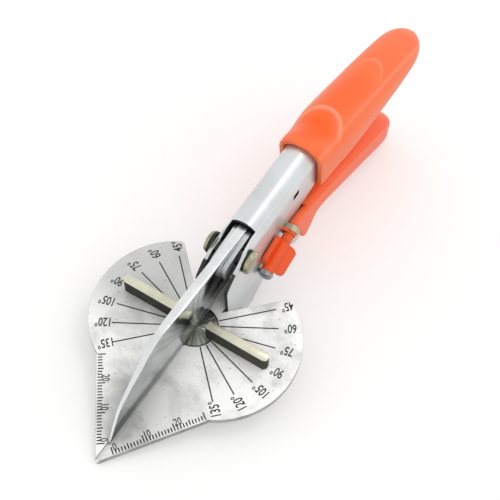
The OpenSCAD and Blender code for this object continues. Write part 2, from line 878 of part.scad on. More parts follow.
module latch_screw() {
    color("whitesmoke")
        laid()
            latch_frame() {
                rod_along(latch_screw_r, -latch_head_h / 2, latch_screw_l);
                rotate([90, 0, 0])
                    rotate_extrude()
                        dome_profile(latch_head_r, latch_head_h, side_gap);
            }
}

module latch_nut() {
    color("gainsboro")
        laid()
            latch_frame()
                difference() {
                    translate([0, lug_at + lug_t, 0])
                        rotate([-90, 30, 0])
                            cylinder(d = nut_flats / cos(30), h = nut_t, $fn = 6);
                    rod_along(latch_screw_r + fixed_gap, 0, latch_screw_l + eps);
                }
}

// Lever sheet without its bores: two stepped cheeks and the web that joins them under the handle
module lever_sheet_body() {
    intersection() {
        slab(lever_outline, -lever_half, lever_half);
        both_sides()
            translate([0, 0, -far])
                linear_extrude(2 * far)
                    polygon(cheek_plan);
    }
    slab(web_outline, lever_sheet / 2 - lever_half, lever_half - lever_sheet / 2);
}

module lever() {
    color("lightgray")
        laid()
            difference() {
                lever_sheet_body();
                cross_rod(pivot, pivot_r + turn_gap, -far, far);
                cross_rod(blade_screw_at, blade_screw_r + fixed_gap, -far, far);
            }
}

// Hollow of the lower grip above the lever's web
module grip_hollow() {
    inner = lever_half - lever_sheet - coat_inner;
    translate([0, 0, lever_sheet + coat_inner])
        slab(rounded(concat(lever_bottom, [[0, neck_front.y, 0], [0, far, 0], [lever_end, far, 0]])), -inner, inner);
}

module lower_grip() {
    color("orangered")
        laid()
            difference() {
                skin(lower_rings);
                grip_hollow();
                lever_sheet_body();
                slab([[0, bench(0)], [2 * far, bench(2 * far)], [2 * far, -far], [0, -far]], -far, far);
            }
}

// Ground bevel on one side of the blade's edge
module blade_bevel() {
    translate([0, far, 0])
        rotate([90, 0, 0])
            linear_extrude(2 * far)
                polygon([[edge_flat / 2, -edge_sink],
                    [blade_t / 2, bevel_h],
                    [blade_t, bevel_h],
                    [blade_t, -blade_t],
                    [edge_flat / 2, -blade_t]]);
}

// Blade seen from above, thinning to its tip
blade_plan = [
    [blade_t / 2, far],
    [-blade_t / 2, far],
    [-blade_t / 2, -taper_from],
    [-tip_t / 2, -blade_reach],
    [tip_t / 2, -blade_reach],
    [blade_t / 2, -taper_from]];

module blade_body() {
    intersection() {
        slab(blade_outline, -blade_t / 2, blade_t / 2);
        translate([0, 0, -far])
            linear_extrude(2 * far)
                polygon(blade_plan);
    }
}

module blade() {
    color("lightsteelblue")
        laid()
            difference() {
                blade_body();
                both_sides()
                    blade_bevel();
                cross_rod(pivot, pivot_r + turn_gap, -far, far);
                cross_rod(blade_screw_at, blade_screw_r + fixed_gap, -far, far);
            }
}

blade_nut_thread = blade_head_h * 0.7;

module blade_screw() {
    color("silver")
        laid()
            translate([0, blade_screw_at.x, blade_screw_at.y])
                rotate([0, 90, 0])
                    rotate_extrude() {
                        translate([0, -cheek_outer - blade_nut_thread])
                            square([blade_screw_r, 2 * cheek_outer + blade_nut_thread]);
                        dome_profile(blade_head_r, blade_head_h, cheek_outer);
                    }
}

module blade_nut() {
    color("silver")
        laid()
            translate([0, blade_screw_at.x, blade_screw_at.y])
                rotate([0, -90, 0])
                    rotate_extrude()
                        difference() {
                            dome_profile(blade_head_r, blade_head_h, cheek_outer);
                            square([blade_screw_r + fixed_gap, cheek_outer + blade_nut_thread + fixed_gap]);
                        }
}

// Latch section across its screw: [outward, up, corner radius]
wing_in = channel_half + latch_gap - latch_x;
wing_out = wing_in + wing_t;
tab_slope = atan((tab_drop + barrel_r) / (tab_reach - wing_out));
latch_outline = rounded([
    [wing_in, 0, 0],
    [0, -barrel_r, 0],
    [tab_reach - tab_t * sin(tab_slope), -tab_drop - tab_t * cos(tab_slope), 0.6],
    [tab_reach, -tab_drop, 0.6],
    [wing_out, barrel_r - 1, 1],
    [wing_out, wing_h, 0.6],
    [wing_in, wing_h, 0.6]]);

// Wing seen from the side and tab seen from above, with their free corners rounded
latch_from = barrel_lead;
latch_to = barrel_lead + latch_l;
wing_view = rounded([[latch_from, -far, 0], [latch_to, -far, 0],
    [latch_to, wing_h, latch_corner], [latch_from, wing_h, latch_corner]]);
tab_view = rounded([[-far, latch_from, 0], [tab_reach, latch_from, latch_corner],
    [tab_reach, latch_to, latch_corner], [-far, latch_to, 0]]);

module latch_wings() {
    intersection() {
        translate([0, latch_to, 0])
            rotate([90, 0, 0])
                linear_extrude(latch_l)
                    polygon(latch_outline);
        slab(wing_view, -far, far);
        translate([0, 0, -far])
            linear_extrude(2 * far)
                polygon(tab_view);
    }
}

module latch() {
    color("orangered")
        laid()
            latch_frame()
                difference() {
                    union() {
                        latch_wings();
                        rod_along(barrel_r, 0, latch_to);
                        rod_along(neck_r, latch_to - neck_r, barrel_l);
                    }
                    rod_along(latch_screw_r + turn_gap, -eps, barrel_l + eps);
                }
}

frame();
upper_grip();
base_plate();
anvil_insert();
fence_bar_right();
fence_bar_left();
fence_screw(bar_screws[0]);  // fence_screw_right_inner
fence_screw(bar_screws[1]);  // fence_screw_right_outer
fence_screw(-bar_screws[0]);  // fence_screw_left_inner
fence_screw(-bar_screws[1]);  // fence_screw_left_outer
plate_rivet(rivet_front);  // plate_rivet_front
plate_rivet(rivet_rear);  // plate_rivet_rear
pivot_bolt();
pivot_nut();
pivot_washer_right();
pivot_washer_left();
pivot_spacer_right();
pivot_spacer_left();
return_spring();
latch_screw();
latch_nut();
lever();
lower_grip();
blade();
blade_screw();
blade_nut();
spring_seat();
latch();
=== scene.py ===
"""Looks of the mitre shears: finishes, eased edges, printed scales, a recess, light, floor and camera."""

from __future__ import annotations

import json
import logging
import math
from collections.abc import Callable
from dataclasses import dataclass, field
from enum import Enum
from functools import cache, partial, reduce

import bmesh
import bpy
from bpy.types import ID, Material, Mesh, Node, NodeOutputs, NodeTree, Object
from bpy.types import NodeSocket as Socket
from mathutils import Matrix, Vector
from mathutils.bvhtree import BVHTree

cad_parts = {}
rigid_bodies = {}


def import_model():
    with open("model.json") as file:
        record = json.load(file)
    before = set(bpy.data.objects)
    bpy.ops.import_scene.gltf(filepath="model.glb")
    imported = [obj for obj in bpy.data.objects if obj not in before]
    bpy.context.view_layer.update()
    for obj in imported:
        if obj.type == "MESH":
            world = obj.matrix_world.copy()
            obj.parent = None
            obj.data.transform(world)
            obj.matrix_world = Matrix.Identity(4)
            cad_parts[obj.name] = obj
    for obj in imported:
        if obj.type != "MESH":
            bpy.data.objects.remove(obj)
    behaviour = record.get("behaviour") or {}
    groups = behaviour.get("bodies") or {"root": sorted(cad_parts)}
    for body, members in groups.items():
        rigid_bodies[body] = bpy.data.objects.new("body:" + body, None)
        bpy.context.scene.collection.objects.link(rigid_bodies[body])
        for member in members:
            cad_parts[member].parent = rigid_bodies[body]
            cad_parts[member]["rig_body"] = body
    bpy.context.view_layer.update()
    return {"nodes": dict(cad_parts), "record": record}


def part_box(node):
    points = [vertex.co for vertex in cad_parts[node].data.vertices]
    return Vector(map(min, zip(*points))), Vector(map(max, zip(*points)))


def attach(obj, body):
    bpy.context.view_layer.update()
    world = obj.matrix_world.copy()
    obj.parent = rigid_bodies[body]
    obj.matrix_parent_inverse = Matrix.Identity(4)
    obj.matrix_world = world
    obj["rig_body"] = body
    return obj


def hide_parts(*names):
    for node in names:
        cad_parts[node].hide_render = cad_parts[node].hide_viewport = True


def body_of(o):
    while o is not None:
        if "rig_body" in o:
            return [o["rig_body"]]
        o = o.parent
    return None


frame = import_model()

LOG = logging.getLogger("mitre_shears")
MM = 0.001
SHARP_DEG = 32.0
DOWN = Vector((0, 0, -1))
Colour = tuple[float, float, float]
Span = tuple[float, float]


class Body(Enum):
    """Moving bodies of the shears."""

    FRAME = "frame_body"
    LEVER = "lever_body"
    LATCH = "latch_body"


class Side(Enum):
    """Side of the plate, as the sign of X."""

    RIGHT = 1
    LEFT = -1

    @property
    def word(self) -> str:
        """The side as it stands in a name."""
        return self.name.lower()


@dataclass(frozen=True)
class PlatePlane:
    """The anvil plate's own frame: millimetres from the angle scale's centre, tipped onto the bench."""

    tilt_deg: float = 12.0
    insert_t: float = 1.7

    def matrix(self) -> Matrix:
        """Place of the plate's frame in the part's frame, found from the round insert.

        Returns:
            The matrix that takes plate millimetres to part metres.
        """
        low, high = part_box("anvil_insert")
        turned = Matrix.Rotation(math.radians(self.tilt_deg), 4, "X")
        top = (low + high) / 2 + turned @ Vector((0, 0, self.insert_t / 2)) * MM
        return Matrix.Translation(top) @ turned @ Matrix.Scale(MM, 4)

    def inverse(self) -> Matrix:
        """The matrix that takes part metres to plate millimetres."""
        return self.matrix().inverted()

    def mapping(self) -> tuple[Vector, Vector]:
        """Values for a Mapping node that takes part coordinates back to the plate's axes.

        Returns:
            The node's location in metres and its rotation in radians.
        """
        tilt = math.radians(self.tilt_deg)
        back = Matrix.Rotation(-tilt, 3, "X")
        return -(back @ self.matrix().translation), Vector((-tilt, 0, 0))


PLATE = PlatePlane()


def linked(name: str, data: ID) -> Object:
    """Puts data in the scene as a new object.

    Args:
        name: The object's name.
        data: Its mesh, text, lamp or camera.

    Returns:
        The new object.
    """
    item = bpy.data.objects.new(name, data)
    bpy.context.collection.objects.link(item)
    return item


# Node trees


class Tree:
    """A node tree under construction, with short calls for its nodes."""

    def __init__(self, tree: NodeTree) -> None:
        """Starts on a tree."""
        self.tree = tree

    def fill(self, socket: Socket, value: object) -> None:
        """Links an input to a socket or sets its value.

        Args:
            socket: The input.
            value: The socket that feeds it, or a plain value.
        """
        if isinstance(value, Socket):
            self.tree.links.new(value, socket)
        else:
            socket.default_value = value

    def add(self, kind: str, settings: dict[str, object] | None = None, **inputs: object) -> Node:
        """Adds a node, makes its settings and fills its inputs.

        Args:
            kind: The node's type name.
            settings: Values of the node's own properties.
            inputs: Sockets or values by input name, with underscores for spaces.

        Returns:
            The new node.
        """
        node = self.tree.nodes.new(kind)
        for key, value in (settings or {}).items():
            setattr(node, key, value)
        for key, value in inputs.items():
            self.fill(node.inputs[key.replace("_", " ")], value)
        return node

    def worked(self, kind: str, operation: str, *values: object, **settings: object) -> Node:
        """Adds a node that works on values in order.

        Args:
            kind: The node's type name.
            operation: What it does.
            values: Sockets or values.
            settings: Further properties of the node.

        Returns:
            The new node.
        """
        node = self.add(kind, {"operation": operation, **settings})
        for socket, value in zip(node.inputs, values):
            self.fill(socket, value)
        return node

    def math(self, operation: str, *values: object, **settings: object) -> Socket:
        """Result of a math node."""
        return self.worked("ShaderNodeMath", operation, *values, **settings).outputs[0]

    def ranged(self, value: Socket, start: tuple[object, object], end: Span = (0.0, 1.0),
               smooth: bool = False) -> Socket:
        """Maps a value from one range to another.

        Args:
            value: The value's socket.
            start: Range of the value, as numbers or sockets.
            end: Range of the result.
            smooth: True to ease both ends.

        Returns:
            The result socket.
        """
        settings = {"interpolation_type": "SMOOTHSTEP" if smooth else "LINEAR"}
        node = self.add("ShaderNodeMapRange", settings, Value=value, From_Min=start[0], From_Max=start[1],
                        To_Min=end[0], To_Max=end[1])
        return node.outputs["Result"]


class GroupTree(Tree):
    """A node group under construction."""

    def __init__(self, name: str, kind: str, inputs: dict[str, str], outputs: dict[str, str]) -> None:
        """Makes the group with its sockets.

        Args:
            name: The group's name.
            kind: The type name of its tree.
            inputs: Kinds of socket by input name.
            outputs: Kinds of socket by output name.
        """
        super().__init__(bpy.data.node_groups.new(name, kind))
        for way, sockets in (("INPUT", inputs), ("OUTPUT", outputs)):
            for key, socket in sockets.items():
                self.tree.interface.new_socket(key, in_out=way, socket_type=f"NodeSocket{socket}")
        self.given = self.add("NodeGroupInput").outputs
        self.taken = self.add("NodeGroupOutput").inputs

    def give(self, **results: Socket) -> NodeTree:
        """Joins the group's outputs by name and gives the finished group."""
        for key, result in results.items():
            self.fill(self.taken[key], result)
        return self.tree


class Effects:
    """Shared shader effects, each built once as a node group."""

    speck_edge = 14.0
    dent_floor = 0.35
    rim_fade = 0.6

    @staticmethod
    def _start(name: str, inputs: tuple[str, ...], outputs: tuple[str, ...]) -> GroupTree:
        """Starts a group that reads a vector and numbers and gives numbers."""
        kinds = {"Vector": "Vector", **dict.fromkeys(inputs, "Float")}
        return GroupTree(name, "ShaderNodeTree", kinds, dict.fromkeys(outputs, "Float"))

    @classmethod
    @cache
    def mottle(cls) -> NodeTree:
        """Cloudy patches and sparse specks.

        Returns:
            A group with the outputs Patches and Specks, both from 0 to 1.
        """
        group = cls._start("mottle", ("Patch Scale", "Speck Scale", "Speck Limit"), ("Patches", "Specks"))
        given = group.given
        cloud = group.add("ShaderNodeTexNoise", Vector=given["Vector"], Scale=given["Patch Scale"],
                          Detail=6.0, Roughness=0.6, Distortion=0.3)
        speck = group.add("ShaderNodeTexNoise", Vector=given["Vector"], Scale=given["Speck Scale"],
                          Detail=1.0)
        over = group.math("SUBTRACT", speck.outputs["Fac"], given["Speck Limit"])
        specks = group.math("MULTIPLY", over, cls.speck_edge, use_clamp=True)
        return group.give(Patches=cloud.outputs["Fac"], Specks=specks)

    @classmethod
    @cache
    def brushed(cls) -> NodeTree:
        """Fine lines along Y, for metal that was ground or rolled lengthwise.

        Returns:
            A group with the output Lines, from 0 to 1.
        """
        group = cls._start("brushed", ("Across", "Along"), ("Lines",))
        given = group.given
        stretch = group.add("ShaderNodeCombineXYZ", X=given["Across"], Y=given["Along"], Z=given["Across"])
        scaled = group.worked("ShaderNodeVectorMath", "MULTIPLY", given["Vector"], stretch.outputs["Vector"])
        noise = group.add("ShaderNodeTexNoise", Vector=scaled.outputs["Vector"], Scale=1.0, Detail=3.0)
        return group.give(Lines=noise.outputs["Fac"])

    @classmethod
    @cache
    def turned(cls) -> NodeTree:
        """Turned rings and a painted fan of highlight streaks on them, round the origin of the vector's XY
        plane.

        Returns:
            A group with the outputs Rings and Fan, both from 0 to 1.
        """
        group = cls._start("turned", ("Ring Scale", "Fan Count"), ("Rings", "Fan"))
        given = group.given
        wave = group.add("ShaderNodeTexWave", {"wave_type": "RINGS", "rings_direction": "Z"},
                         Vector=given["Vector"], Scale=given["Ring Scale"], Distortion=0.4, Detail=2.0)
        angle = group.add("ShaderNodeTexGradient", {"gradient_type": "RADIAL"}, Vector=given["Vector"])
        count = group.math("MULTIPLY", angle.outputs["Fac"], given["Fan Count"])
        streak = group.add("ShaderNodeTexNoise", {"noise_dimensions": "1D"}, W=count, Scale=1.0, Detail=2.0)
        return group.give(Rings=wave.outputs["Fac"], Fan=streak.outputs["Fac"])

    @classmethod
    @cache
    def rim(cls) -> NodeTree:
        """Painted highlight ring at a distance of 1 from the origin, kept past a start along Y, and painted
        shade in the hollow inside it.

        Returns:
            A group with the outputs Rim and Dent, both from 0 to 1.
        """
        group = cls._start("rim", ("Width", "Depth", "Start", "Height"), ("Rim", "Dent"))
        given = group.given
        reach = group.worked("ShaderNodeVectorMath", "LENGTH", given["Vector"]).outputs["Value"]
        away = group.math("ABSOLUTE", group.math("SUBTRACT", reach, 1.0))
        crest = group.ranged(away, (0.0, given["Width"]), (1.0, 0.0), smooth=True)
        along = group.add("ShaderNodeSeparateXYZ", Vector=given["Vector"]).outputs["Y"]
        stop = group.math("ADD", given["Start"], cls.rim_fade)
        kept = group.ranged(along, (given["Start"], stop), smooth=True)
        rim = group.math("MULTIPLY", group.math("MULTIPLY", crest, given["Height"]), kept)
        fall = group.ranged(reach, (cls.dent_floor, 1.0), (1.0, 0.0), smooth=True)
        return group.give(Rim=rim, Dent=group.math("MULTIPLY", fall, given["Depth"]))


class Shade(Tree):
    """A material under construction."""

    mix_inputs = (0, 6, 7)
    mix_result = 2

    def __init__(self, name: str) -> None:
        """Starts an empty node material.

        Args:
            name: The material's name.
        """
        self.material = bpy.data.materials.new(name)
        self.material.use_nodes = True
        super().__init__(self.material.node_tree)
        self.tree.nodes.clear()
        self.out = self.add("ShaderNodeOutputMaterial").inputs["Surface"]

    def effect(self, tree: NodeTree, vector: Socket, **inputs: float) -> NodeOutputs:
        """Places a shared effect."""
        return self.add("ShaderNodeGroup", {"node_tree": tree}, Vector=vector, **inputs).outputs

    def surface(self, **inputs: object) -> None:
        """Adds the Principled shader and joins it to the material's output."""
        self.fill(self.out, self.add("ShaderNodeBsdfPrincipled", **inputs).outputs["BSDF"])

    def coords(self, plate_axes: bool = False) -> Socket:
        """Object coordinates, in the part's axes or turned back to the plate's.

        Args:
            plate_axes: True for the plate's own axes.

        Returns:
            The vector socket.
        """
        start = self.add("ShaderNodeTexCoord").outputs["Object"]
        if not plate_axes:
            return start
        location, rotation = PLATE.mapping()
        mapping = self.add("ShaderNodeMapping", Vector=start, Location=location, Rotation=rotation)
        return mapping.outputs["Vector"]

    def mixed(self, share: Socket, low: Colour | Socket, high: Colour) -> Socket:
        """Mixes two colours by a share.

        Args:
            share: Share of the high colour.
            low: Colour or colour socket at a share of 0.
            high: Colour at a share of 1.

        Returns:
            The colour socket.
        """
        node = self.add("ShaderNodeMix", {"data_type": "RGBA"})
        for place, value in zip(self.mix_inputs, (share, low, high)):
            self.fill(node.inputs[place], value if isinstance(value, Socket) else (*value, 1.0))
        return node.outputs[self.mix_result]

    def bump(self, height: Socket, strength: float, depth: float) -> Socket:
        """Normal of a surface that is bumped to a depth in millimetres."""
        node = self.add("ShaderNodeBump", Height=height, Strength=strength, Distance=depth * MM)
        return node.outputs["Normal"]


# Finishes


def dimmed(colour: Colour, share: float) -> Colour:
    """A darker colour."""
    return tuple(share * part for part in colour)


@dataclass(frozen=True)
class Stain:
    """A round darker patch on the plate, in plate millimetres; the rest are shares."""

    centre: Span
    radius: float
    core: float = 0.45
    strength: float = 0.7
    tone: float = 0.8


@dataclass(frozen=True)
class MetalFinish:
    """A metal with patches, specks, fine lines, a slight bump and, if given, painted shade low above the
    plate and a round darker patch.
    """

    name: str
    colour: Colour
    dark: Colour
    metallic: float = 1.0
    rough_low: float = 0.2
    rough_high: float = 0.35
    patch_scale: float = 90.0
    patch_range: Span = (0.34, 0.6)
    speck_scale: float = 1100.0
    speck_limit: float = 0.74
    speck_tone: float = 0.45
    across: float = 6000.0
    along: float = 150.0
    line_range: Span = (0.3, 0.7)
    bump: float = 0.05
    bump_depth: float = 0.1
    gloss: float = 0.5
    # Painted shade: the colour darkens below these plate heights, for the shade where the part meets the
    # plate.
    ground: Span | None = None
    ground_tone: float = 0.4
    stain: Stain | None = None

    def _worn(self, shade: Shade, vector: Socket, base: Socket) -> Socket:
        """Adds the painted shade low above the plate and the round darker patch to the patches.

        Args:
            shade: The material.
            vector: Coordinates in the plate's axes.
            base: Colour of the patches.

        Returns:
            The colour socket.
        """
        # Painted shade, darker towards the plate.
        if self.ground:
            height = shade.add("ShaderNodeSeparateXYZ", Vector=vector).outputs["Z"]
            below = shade.ranged(height, (self.ground[0] * MM, self.ground[1] * MM), (1.0, 0.0))
            base = shade.mixed(below, base, dimmed(self.dark, self.ground_tone))
        # A round patch made darker; on the plate it covers the left lobe.
        if self.stain:
            middle = (self.stain.centre[0] * MM, self.stain.centre[1] * MM, 0.0)
            away = shade.worked("ShaderNodeVectorMath", "DISTANCE", vector, middle).outputs["Value"]
            edge = self.stain.radius * MM
            share = shade.ranged(away, (self.stain.core * edge, edge), (self.stain.strength, 0.0))
            base = shade.mixed(share, base, dimmed(self.dark, self.stain.tone))
        return base

    def make(self) -> Material:
        """Builds the material.

        Returns:
            The finished material.
        """
        shade = Shade(self.name)
        vector = shade.coords(plate_axes=True)
        mottle = shade.effect(Effects.mottle(), vector, Patch_Scale=self.patch_scale,
                              Speck_Scale=self.speck_scale, Speck_Limit=self.speck_limit)
        lines = shade.effect(Effects.brushed(), vector, Across=self.across, Along=self.along)["Lines"]
        base = shade.mixed(shade.ranged(mottle["Patches"], self.patch_range), self.dark, self.colour)
        base = self._worn(shade, vector, base)
        shade.surface(
            Base_Color=shade.mixed(mottle["Specks"], base, dimmed(self.dark, self.speck_tone)),
            Metallic=self.metallic, Specular_IOR_Level=self.gloss,
            Roughness=shade.ranged(lines, self.line_range, (self.rough_low, self.rough_high)),
            Normal=shade.bump(lines, self.bump, self.bump_depth))
        return shade.material


@dataclass(frozen=True)
class TurnedFinish:
    """Dark metal with fine turned rings about the plate's centre and a painted fan of highlight streaks on
    them.
    """

    name: str
    colour: Colour
    dark: Colour
    rough_range: Span = (0.22, 0.38)
    ring_scale: float = 1500.0
    fan_count: float = 26.0
    fan_range: Span = (0.42, 0.68)
    bump: float = 0.35
    bump_depth: float = 0.05

    def make(self) -> Material:
        """Builds the material.

        Returns:
            The finished material.
        """
        shade = Shade(self.name)
        turned = shade.effect(Effects.turned(), shade.coords(plate_axes=True), Ring_Scale=self.ring_scale,
                              Fan_Count=self.fan_count)
        # Painted highlight streaks fanning round the insert.
        fan = shade.ranged(turned["Fan"], self.fan_range)
        shade.surface(
            Base_Color=shade.mixed(fan, self.dark, self.colour), Metallic=1.0,
            Roughness=shade.ranged(turned["Rings"], (0.0, 1.0), self.rough_range),
            Normal=shade.bump(turned["Rings"], self.bump, self.bump_depth))
        return shade.material


@dataclass(frozen=True)
class Rim:
    """A moulded rim on a grip: an ellipse over the plate, in plate millimetres, its arcs in degrees.

    Its width and the start of its painted highlight along Y are shares of the radii; depth and height are
    strengths.
    """

    centre: Span
    radii: Span
    width: float
    depth: float
    start: float
    height: float
    arcs: tuple[Span, ...]

    def spot(self, turn: float, out: float) -> Span:
        """Point of the ellipse at an angle in radians, moved outward by a length."""
        lean = Vector((math.cos(turn) / self.radii[0], math.sin(turn) / self.radii[1])).normalized()
        return (self.centre[0] + self.radii[0] * math.cos(turn) + lean.x * out,
                self.centre[1] + self.radii[1] * math.sin(turn) + lean.y * out)


@dataclass(frozen=True)
class SoftFinish:
    """Moulded or dipped plastic with faint clouding, a fine skin and, on a grip, rims with a painted
    highlight and painted shade in the hollows inside them.
    """

    name: str
    colour: Colour
    deep: Colour
    # Painted highlight colour on the rims' crests and its share, then the painted shade colour in the hollows
    # inside the rims.
    pale: Colour = (1.0, 0.42, 0.28)
    pale_share: float = 0.6
    dent: Colour = (0.98, 0.115, 0.006)
    roughness: float = 0.4
    rough_spread: float = 0.05
    gloss: float = 0.4
    cloud_scale: float = 40.0
    cloud_range: Span = (0.3, 0.65)
    rough_range: Span = (0.3, 0.7)
    skin_scale: float = 1800.0
    bump: float = 0.5
    bump_depth: float = 0.05
    rims: tuple[Rim, ...] = ()
    rims_from: Span = (41.5, 43.5)
    rims_deep: float = 900.0

    def _rim_values(self, shade: Shade) -> list[Socket]:
        """Shares of the rims' painted highlight and of the painted shade in the hollows inside them, on the
        grip's upper half.

        Args:
            shade: The material.

        Returns:
            The sockets of the painted highlight's and the painted shade's shares.
        """
        height = shade.add("ShaderNodeSeparateXYZ", Vector=shade.coords()).outputs["Z"]
        upper = shade.ranged(height, (self.rims_from[0] * MM, self.rims_from[1] * MM))
        vector = shade.coords(plate_axes=True)
        rings = []
        for rim in self.rims:
            spot = shade.add("ShaderNodeMapping", {"vector_type": "TEXTURE"}, Vector=vector,
                             Location=(rim.centre[0] * MM, rim.centre[1] * MM, 0.0),
                             Scale=(rim.radii[0] * MM, rim.radii[1] * MM, self.rims_deep))
            rings.append(shade.effect(Effects.rim(), spot.outputs["Vector"], Width=rim.width, Depth=rim.depth,
                                      Start=rim.start, Height=rim.height))
        shares = []
        for kind in ("Rim", "Dent"):
            most = reduce(partial(shade.math, "MAXIMUM"), [ring[kind] for ring in rings])
            shares.append(shade.math("MULTIPLY", most, upper))
        return shares

    def make(self) -> Material:
        """Builds the material.

        Returns:
            The finished material.
        """
        shade = Shade(self.name)
        vector = shade.coords()
        clouds = shade.effect(Effects.mottle(), vector, Patch_Scale=self.cloud_scale)["Patches"]
        skin = shade.effect(Effects.mottle(), vector, Patch_Scale=self.skin_scale)["Patches"]
        colour = shade.mixed(shade.ranged(clouds, self.cloud_range), self.deep, self.colour)
        if self.rims:
            rim, dent = self._rim_values(shade)
            # Painted shade in the hollows, then painted highlight on the rims.
            colour = shade.mixed(dent, colour, self.dent)
            colour = shade.mixed(shade.ranged(rim, (0.0, 1.0), (0.0, self.pale_share)), colour, self.pale)
        rough = (self.roughness - self.rough_spread, self.roughness + self.rough_spread)
        shade.surface(Base_Color=colour, Metallic=0.0, Specular_IOR_Level=self.gloss,
                      Roughness=shade.ranged(clouds, self.rough_range, rough),
                      Normal=shade.bump(skin, self.bump, self.bump_depth))
        return shade.material


@dataclass(frozen=True)
class InkFinish:
    """Matt printing ink, a little worn."""

    name: str
    colour: Colour
    worn: Colour
    roughness: float = 0.6
    wear_scale: float = 900.0
    wear_range: Span = (0.5, 0.75)

    def make(self) -> Material:
        """Builds the material.

        Returns:
            The finished material.
        """
        shade = Shade(self.name)
        patches = shade.effect(Effects.mottle(), shade.coords(), Patch_Scale=self.wear_scale)["Patches"]
        wear = shade.ranged(patches, self.wear_range)
        shade.surface(Base_Color=shade.mixed(wear, self.colour, self.worn), Metallic=0.0,
                      Roughness=self.roughness)
        return shade.material


class Finish(Enum):
    """Finishes of the shears."""

    PLATED = MetalFinish("satin_sheet", (0.70, 0.725, 0.725), (0.58, 0.605, 0.61), metallic=0.8,
                         rough_low=0.3, rough_high=0.42, patch_scale=55.0, speck_limit=0.84, along=60.0)
    # Near-black copy of the sheet for the channel's inside, slot and front edges: painted shade.
    INNER = MetalFinish("sheet_inside", (0.06, 0.06, 0.06), (0.02, 0.02, 0.02), metallic=0.5, rough_low=0.5,
                        rough_high=0.65)
    # One blade steel in two copies: the side's darker colour is a painted dark reflection, with painted shade
    # low above the plate, and the spine's paler one a painted highlight.
    POLISHED = MetalFinish("bright_blade", (0.47, 0.48, 0.48), (0.39, 0.40, 0.41), rough_low=0.13,
                           rough_high=0.2, across=9000.0, along=400.0, bump=0.01, speck_limit=0.9,
                           ground=(5.4, 7.0))
    SPINE = MetalFinish("blade_spine", (0.80, 0.81, 0.81), (0.70, 0.71, 0.72), rough_low=0.24, rough_high=0.3,
                        across=9000.0, along=400.0, bump=0.003, speck_limit=0.9)
    # Its round darker patch covers the plate's left lobe.
    ALLOY = MetalFinish("cast_alloy", (0.98, 0.98, 0.96), (0.60, 0.605, 0.59), metallic=0.2, rough_low=0.42,
                        rough_high=0.55, patch_scale=70.0, patch_range=(0.32, 0.52), across=3000.0,
                        along=900.0, speck_limit=0.7, stain=Stain((-29.0, 11.0), 27.0))
    # Darker copy of the plate's alloy for its sides and eased edge: painted shade.
    EDGE = MetalFinish("alloy_edge", (0.42, 0.42, 0.41), (0.22, 0.22, 0.215), metallic=0.5, rough_low=0.3,
                       rough_high=0.45, patch_scale=160.0)
    NICKEL = MetalFinish("cream_nickel", (0.72, 0.71, 0.57), (0.56, 0.55, 0.42), rough_low=0.26,
                         rough_high=0.34, bump=0.008)
    GOLD = MetalFinish("pivot_plating", (0.50, 0.47, 0.33), (0.26, 0.24, 0.16), rough_low=0.2,
                       rough_high=0.32, patch_scale=220.0)
    # Near-black copy for the fence bars' sides, which are one metal with their pale tops: painted shade.
    OLIVE = MetalFinish("bar_side", (0.040, 0.043, 0.030), (0.015, 0.017, 0.011), metallic=0.3,
                        rough_low=0.45, rough_high=0.5, patch_scale=160.0, gloss=0.15)
    CHROME = MetalFinish("shiny_screw", (0.40, 0.41, 0.42), (0.22, 0.23, 0.24), rough_low=0.1,
                         rough_high=0.18)
    # Blackened steel; on the pivot washers it is painted shade.
    DARK = MetalFinish("blackened_steel", (0.05, 0.05, 0.045), (0.025, 0.025, 0.022), rough_low=0.3,
                       rough_high=0.45)
    WIRE = MetalFinish("bright_wire", (0.38, 0.39, 0.41), (0.27, 0.28, 0.30), rough_low=0.22, rough_high=0.32)
    # Its pale colour is a painted highlight in a fan of streaks over the dark one.
    TURNED = TurnedFinish("turned_insert", (0.44, 0.45, 0.40), (0.16, 0.17, 0.14))
    # Same vinyl as the upper grip, made a little redder for the lower one as painted shade.
    VINYL = SoftFinish("dipped_vinyl", (0.975, 0.155, 0.042), (0.965, 0.120, 0.026), gloss=0.3)
    # Its rims carry a painted highlight and painted shade in their hollows.
    SHEATH = SoftFinish("dipped_vinyl_rimmed", (0.98, 0.190, 0.058), (0.97, 0.155, 0.040), gloss=0.28, rims=(
        Rim(centre=(-0.4, 77.0), radii=(8.4, 9.9), width=0.17, depth=1.0, start=-0.1, height=1.0,
            arcs=((20.0, 160.0),)),
        Rim(centre=(0.0, 100.0), radii=(8.0, 23.7), width=0.09, depth=0.6, start=0.5, height=0.6,
            arcs=((35.0, 145.0),)),
        Rim(centre=(0.0, 0.0), radii=(7.6, 900.0), width=0.12, depth=0.0, start=-1.0, height=0.4,
            arcs=((5.87, 9.08), (170.92, 174.13)))))
    MOULDED = SoftFinish("moulded_plastic", (0.88, 0.105, 0.012), (0.80, 0.080, 0.008), roughness=0.36)
    INK = InkFinish("printing_ink", (0.006, 0.006, 0.007), (0.05, 0.05, 0.05))

    @cache
    def material(self) -> Material:
        """The finish's material, made at its first use."""
        return self.value.make()


# Meshes


